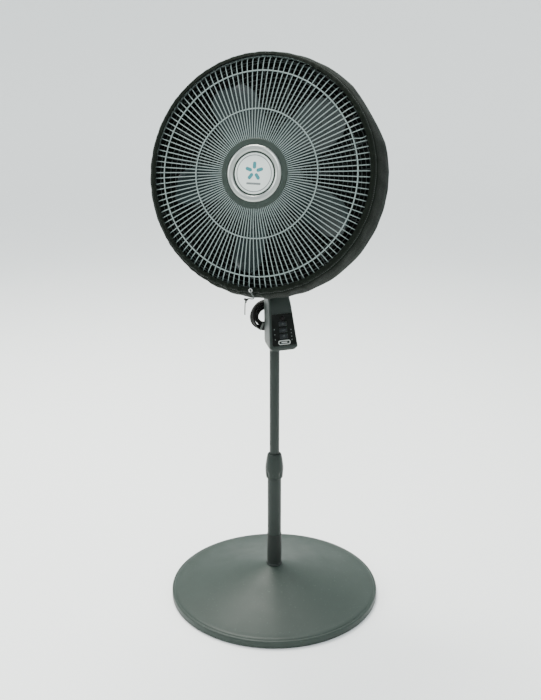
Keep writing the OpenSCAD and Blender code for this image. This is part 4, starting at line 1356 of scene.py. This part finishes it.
class FAN_OT_hidden(FanPiece, bpy.types.Operator):
    """Finishes on every inner part that keeps the frame's own shape"""

    bl_idname = "fan.hidden"
    bl_label = "Inner parts"

    def make(self, shape, look):
        slots = {row["node"]: row["material_slot"] for row in frame["record"]["subparts"]}
        for name, node in frame["nodes"].items():
            node.data.materials.clear()
            node.data.materials.append(look[slots[name]])


# ---------------------------------------------------------------- stage

LENS = 51.43
CAMERA_PLACE = (-0.7186, -1.9743, 1.292)
CAMERA_DOWN, CAMERA_YAW = math.radians(18.16), math.radians(-20 + 0.246)


def lamp(name, energy, size, place, target, colour=(1, 1, 1)):
    """A square area light aimed at a point."""
    data = bpy.data.lights.new(name, "AREA")
    data.energy, data.size, data.color = energy, size, colour
    light = bpy.data.objects.new(name, data)
    away = unit(np.subtract(place, target))
    axes = Axes(place, np.cross((0, 0, 1), away), away)
    light.matrix_world = Matrix.Translation(place) @ Matrix(axes.turn.T).to_4x4()
    bpy.context.scene.collection.objects.link(light)
    return light


class FAN_OT_stage(FanPiece, bpy.types.Operator):
    """Pale sweep, camera, soft lights and world light"""

    bl_idname = "fan.stage"
    bl_label = "Stage"

    def make(self, shape, look):
        scene = bpy.context.scene
        sweep = MM * np.array([(0, -0.5), (4200, -0.5), (5200, 250), (5700, 1200), (5800, 4200)])
        skin = Skin()
        skin.turn(eased(sweep, 0.6, 10, closed=False), steps=96, closed=False)
        mesh = skin.mesh("paper_sweep")
        floor = bpy.data.objects.new("paper_sweep", mesh)
        scene.collection.objects.link(floor)
        paper = Finish("paper", {"Specular IOR Level": 0.2})
        fibres = paper.noise(300, 3)
        mesh.materials.append(paper.done(
            paper.mix(fibres, (0.9, 0.91, 0.905), (0.93, 0.94, 0.935)), fibres * 0.1 + 0.8, fibres * 0.02))
        data = bpy.data.cameras.new("camera")
        data.lens, data.sensor_width, data.clip_end = LENS, 36.0, 50.0
        camera = bpy.data.objects.new("camera", data)
        camera.location = CAMERA_PLACE
        camera.rotation_euler = (math.pi / 2 - CAMERA_DOWN, 0, CAMERA_YAW)
        scene.collection.objects.link(camera)
        scene.camera = camera
        world = bpy.data.worlds.new("studio")
        scene.world = world
        world.use_nodes = True
        backdrop = world.node_tree.nodes["Background"]
        backdrop.inputs["Color"].default_value = (0.86, 0.95, 1.0, 1.0)
        backdrop.inputs["Strength"].default_value = 1.1
        lights = [
            lamp("key", 45, 1.4, (-1.0, -2.4, 3.2), (0, 0, 0.7)),
            lamp("rim", 32, 1.2, (-2.8, 0.6, 1.9), (0, 0, 0.8)),
            lamp("overhead", 240, 1.6, (-0.2, 1.1, 3.4), (0, 0, 0.2), (1.0, 1.0, 0.93)),
        ]


# ---------------------------------------------------------------- add-on

PIECES = (
    FAN_OT_base, FAN_OT_poles, FAN_OT_housing, FAN_OT_panel, FAN_OT_lead, FAN_OT_swivel, FAN_OT_motor,
    FAN_OT_impeller, FAN_OT_guard, FAN_OT_badge, FAN_OT_cover, FAN_OT_drawstring, FAN_OT_hidden, FAN_OT_stage,
)


class FAN_PT_sidebar(bpy.types.Panel):
    """The fan's settings and build buttons"""

    bl_idname = "FAN_PT_sidebar"
    bl_label = "Pedestal fan"
    bl_space_type = "VIEW_3D"
    bl_region_type = "UI"
    bl_category = "Fan"

    def draw(self, context):
        for group in (context.scene.fan_shape, context.scene.fan_finishes):
            for setting in group.bl_rna.properties:
                if setting.identifier not in {"rna_type", "name"}:
                    self.layout.prop(group, setting.identifier)
        for piece in PIECES:
            self.layout.operator(piece.bl_idname)


CLASSES = (FanShape, FanFinishes, *PIECES, FAN_PT_sidebar)


def register():
    """Registers the classes and the two groups of settings."""
    for cls in CLASSES:
        bpy.utils.register_class(cls)
    bpy.types.Scene.fan_shape = PointerProperty(type=FanShape)
    bpy.types.Scene.fan_finishes = PointerProperty(type=FanFinishes)


def unregister():
    """Takes back what register did."""
    del bpy.types.Scene.fan_finishes
    del bpy.types.Scene.fan_shape
    for cls in reversed(CLASSES):
        bpy.utils.unregister_class(cls)


def main():
    """Builds every piece in order."""
    register()
    for piece in PIECES:
        group, name = piece.bl_idname.split(".")
        getattr(getattr(bpy.ops, group), name)()


if __name__ == "__main__":
    main()
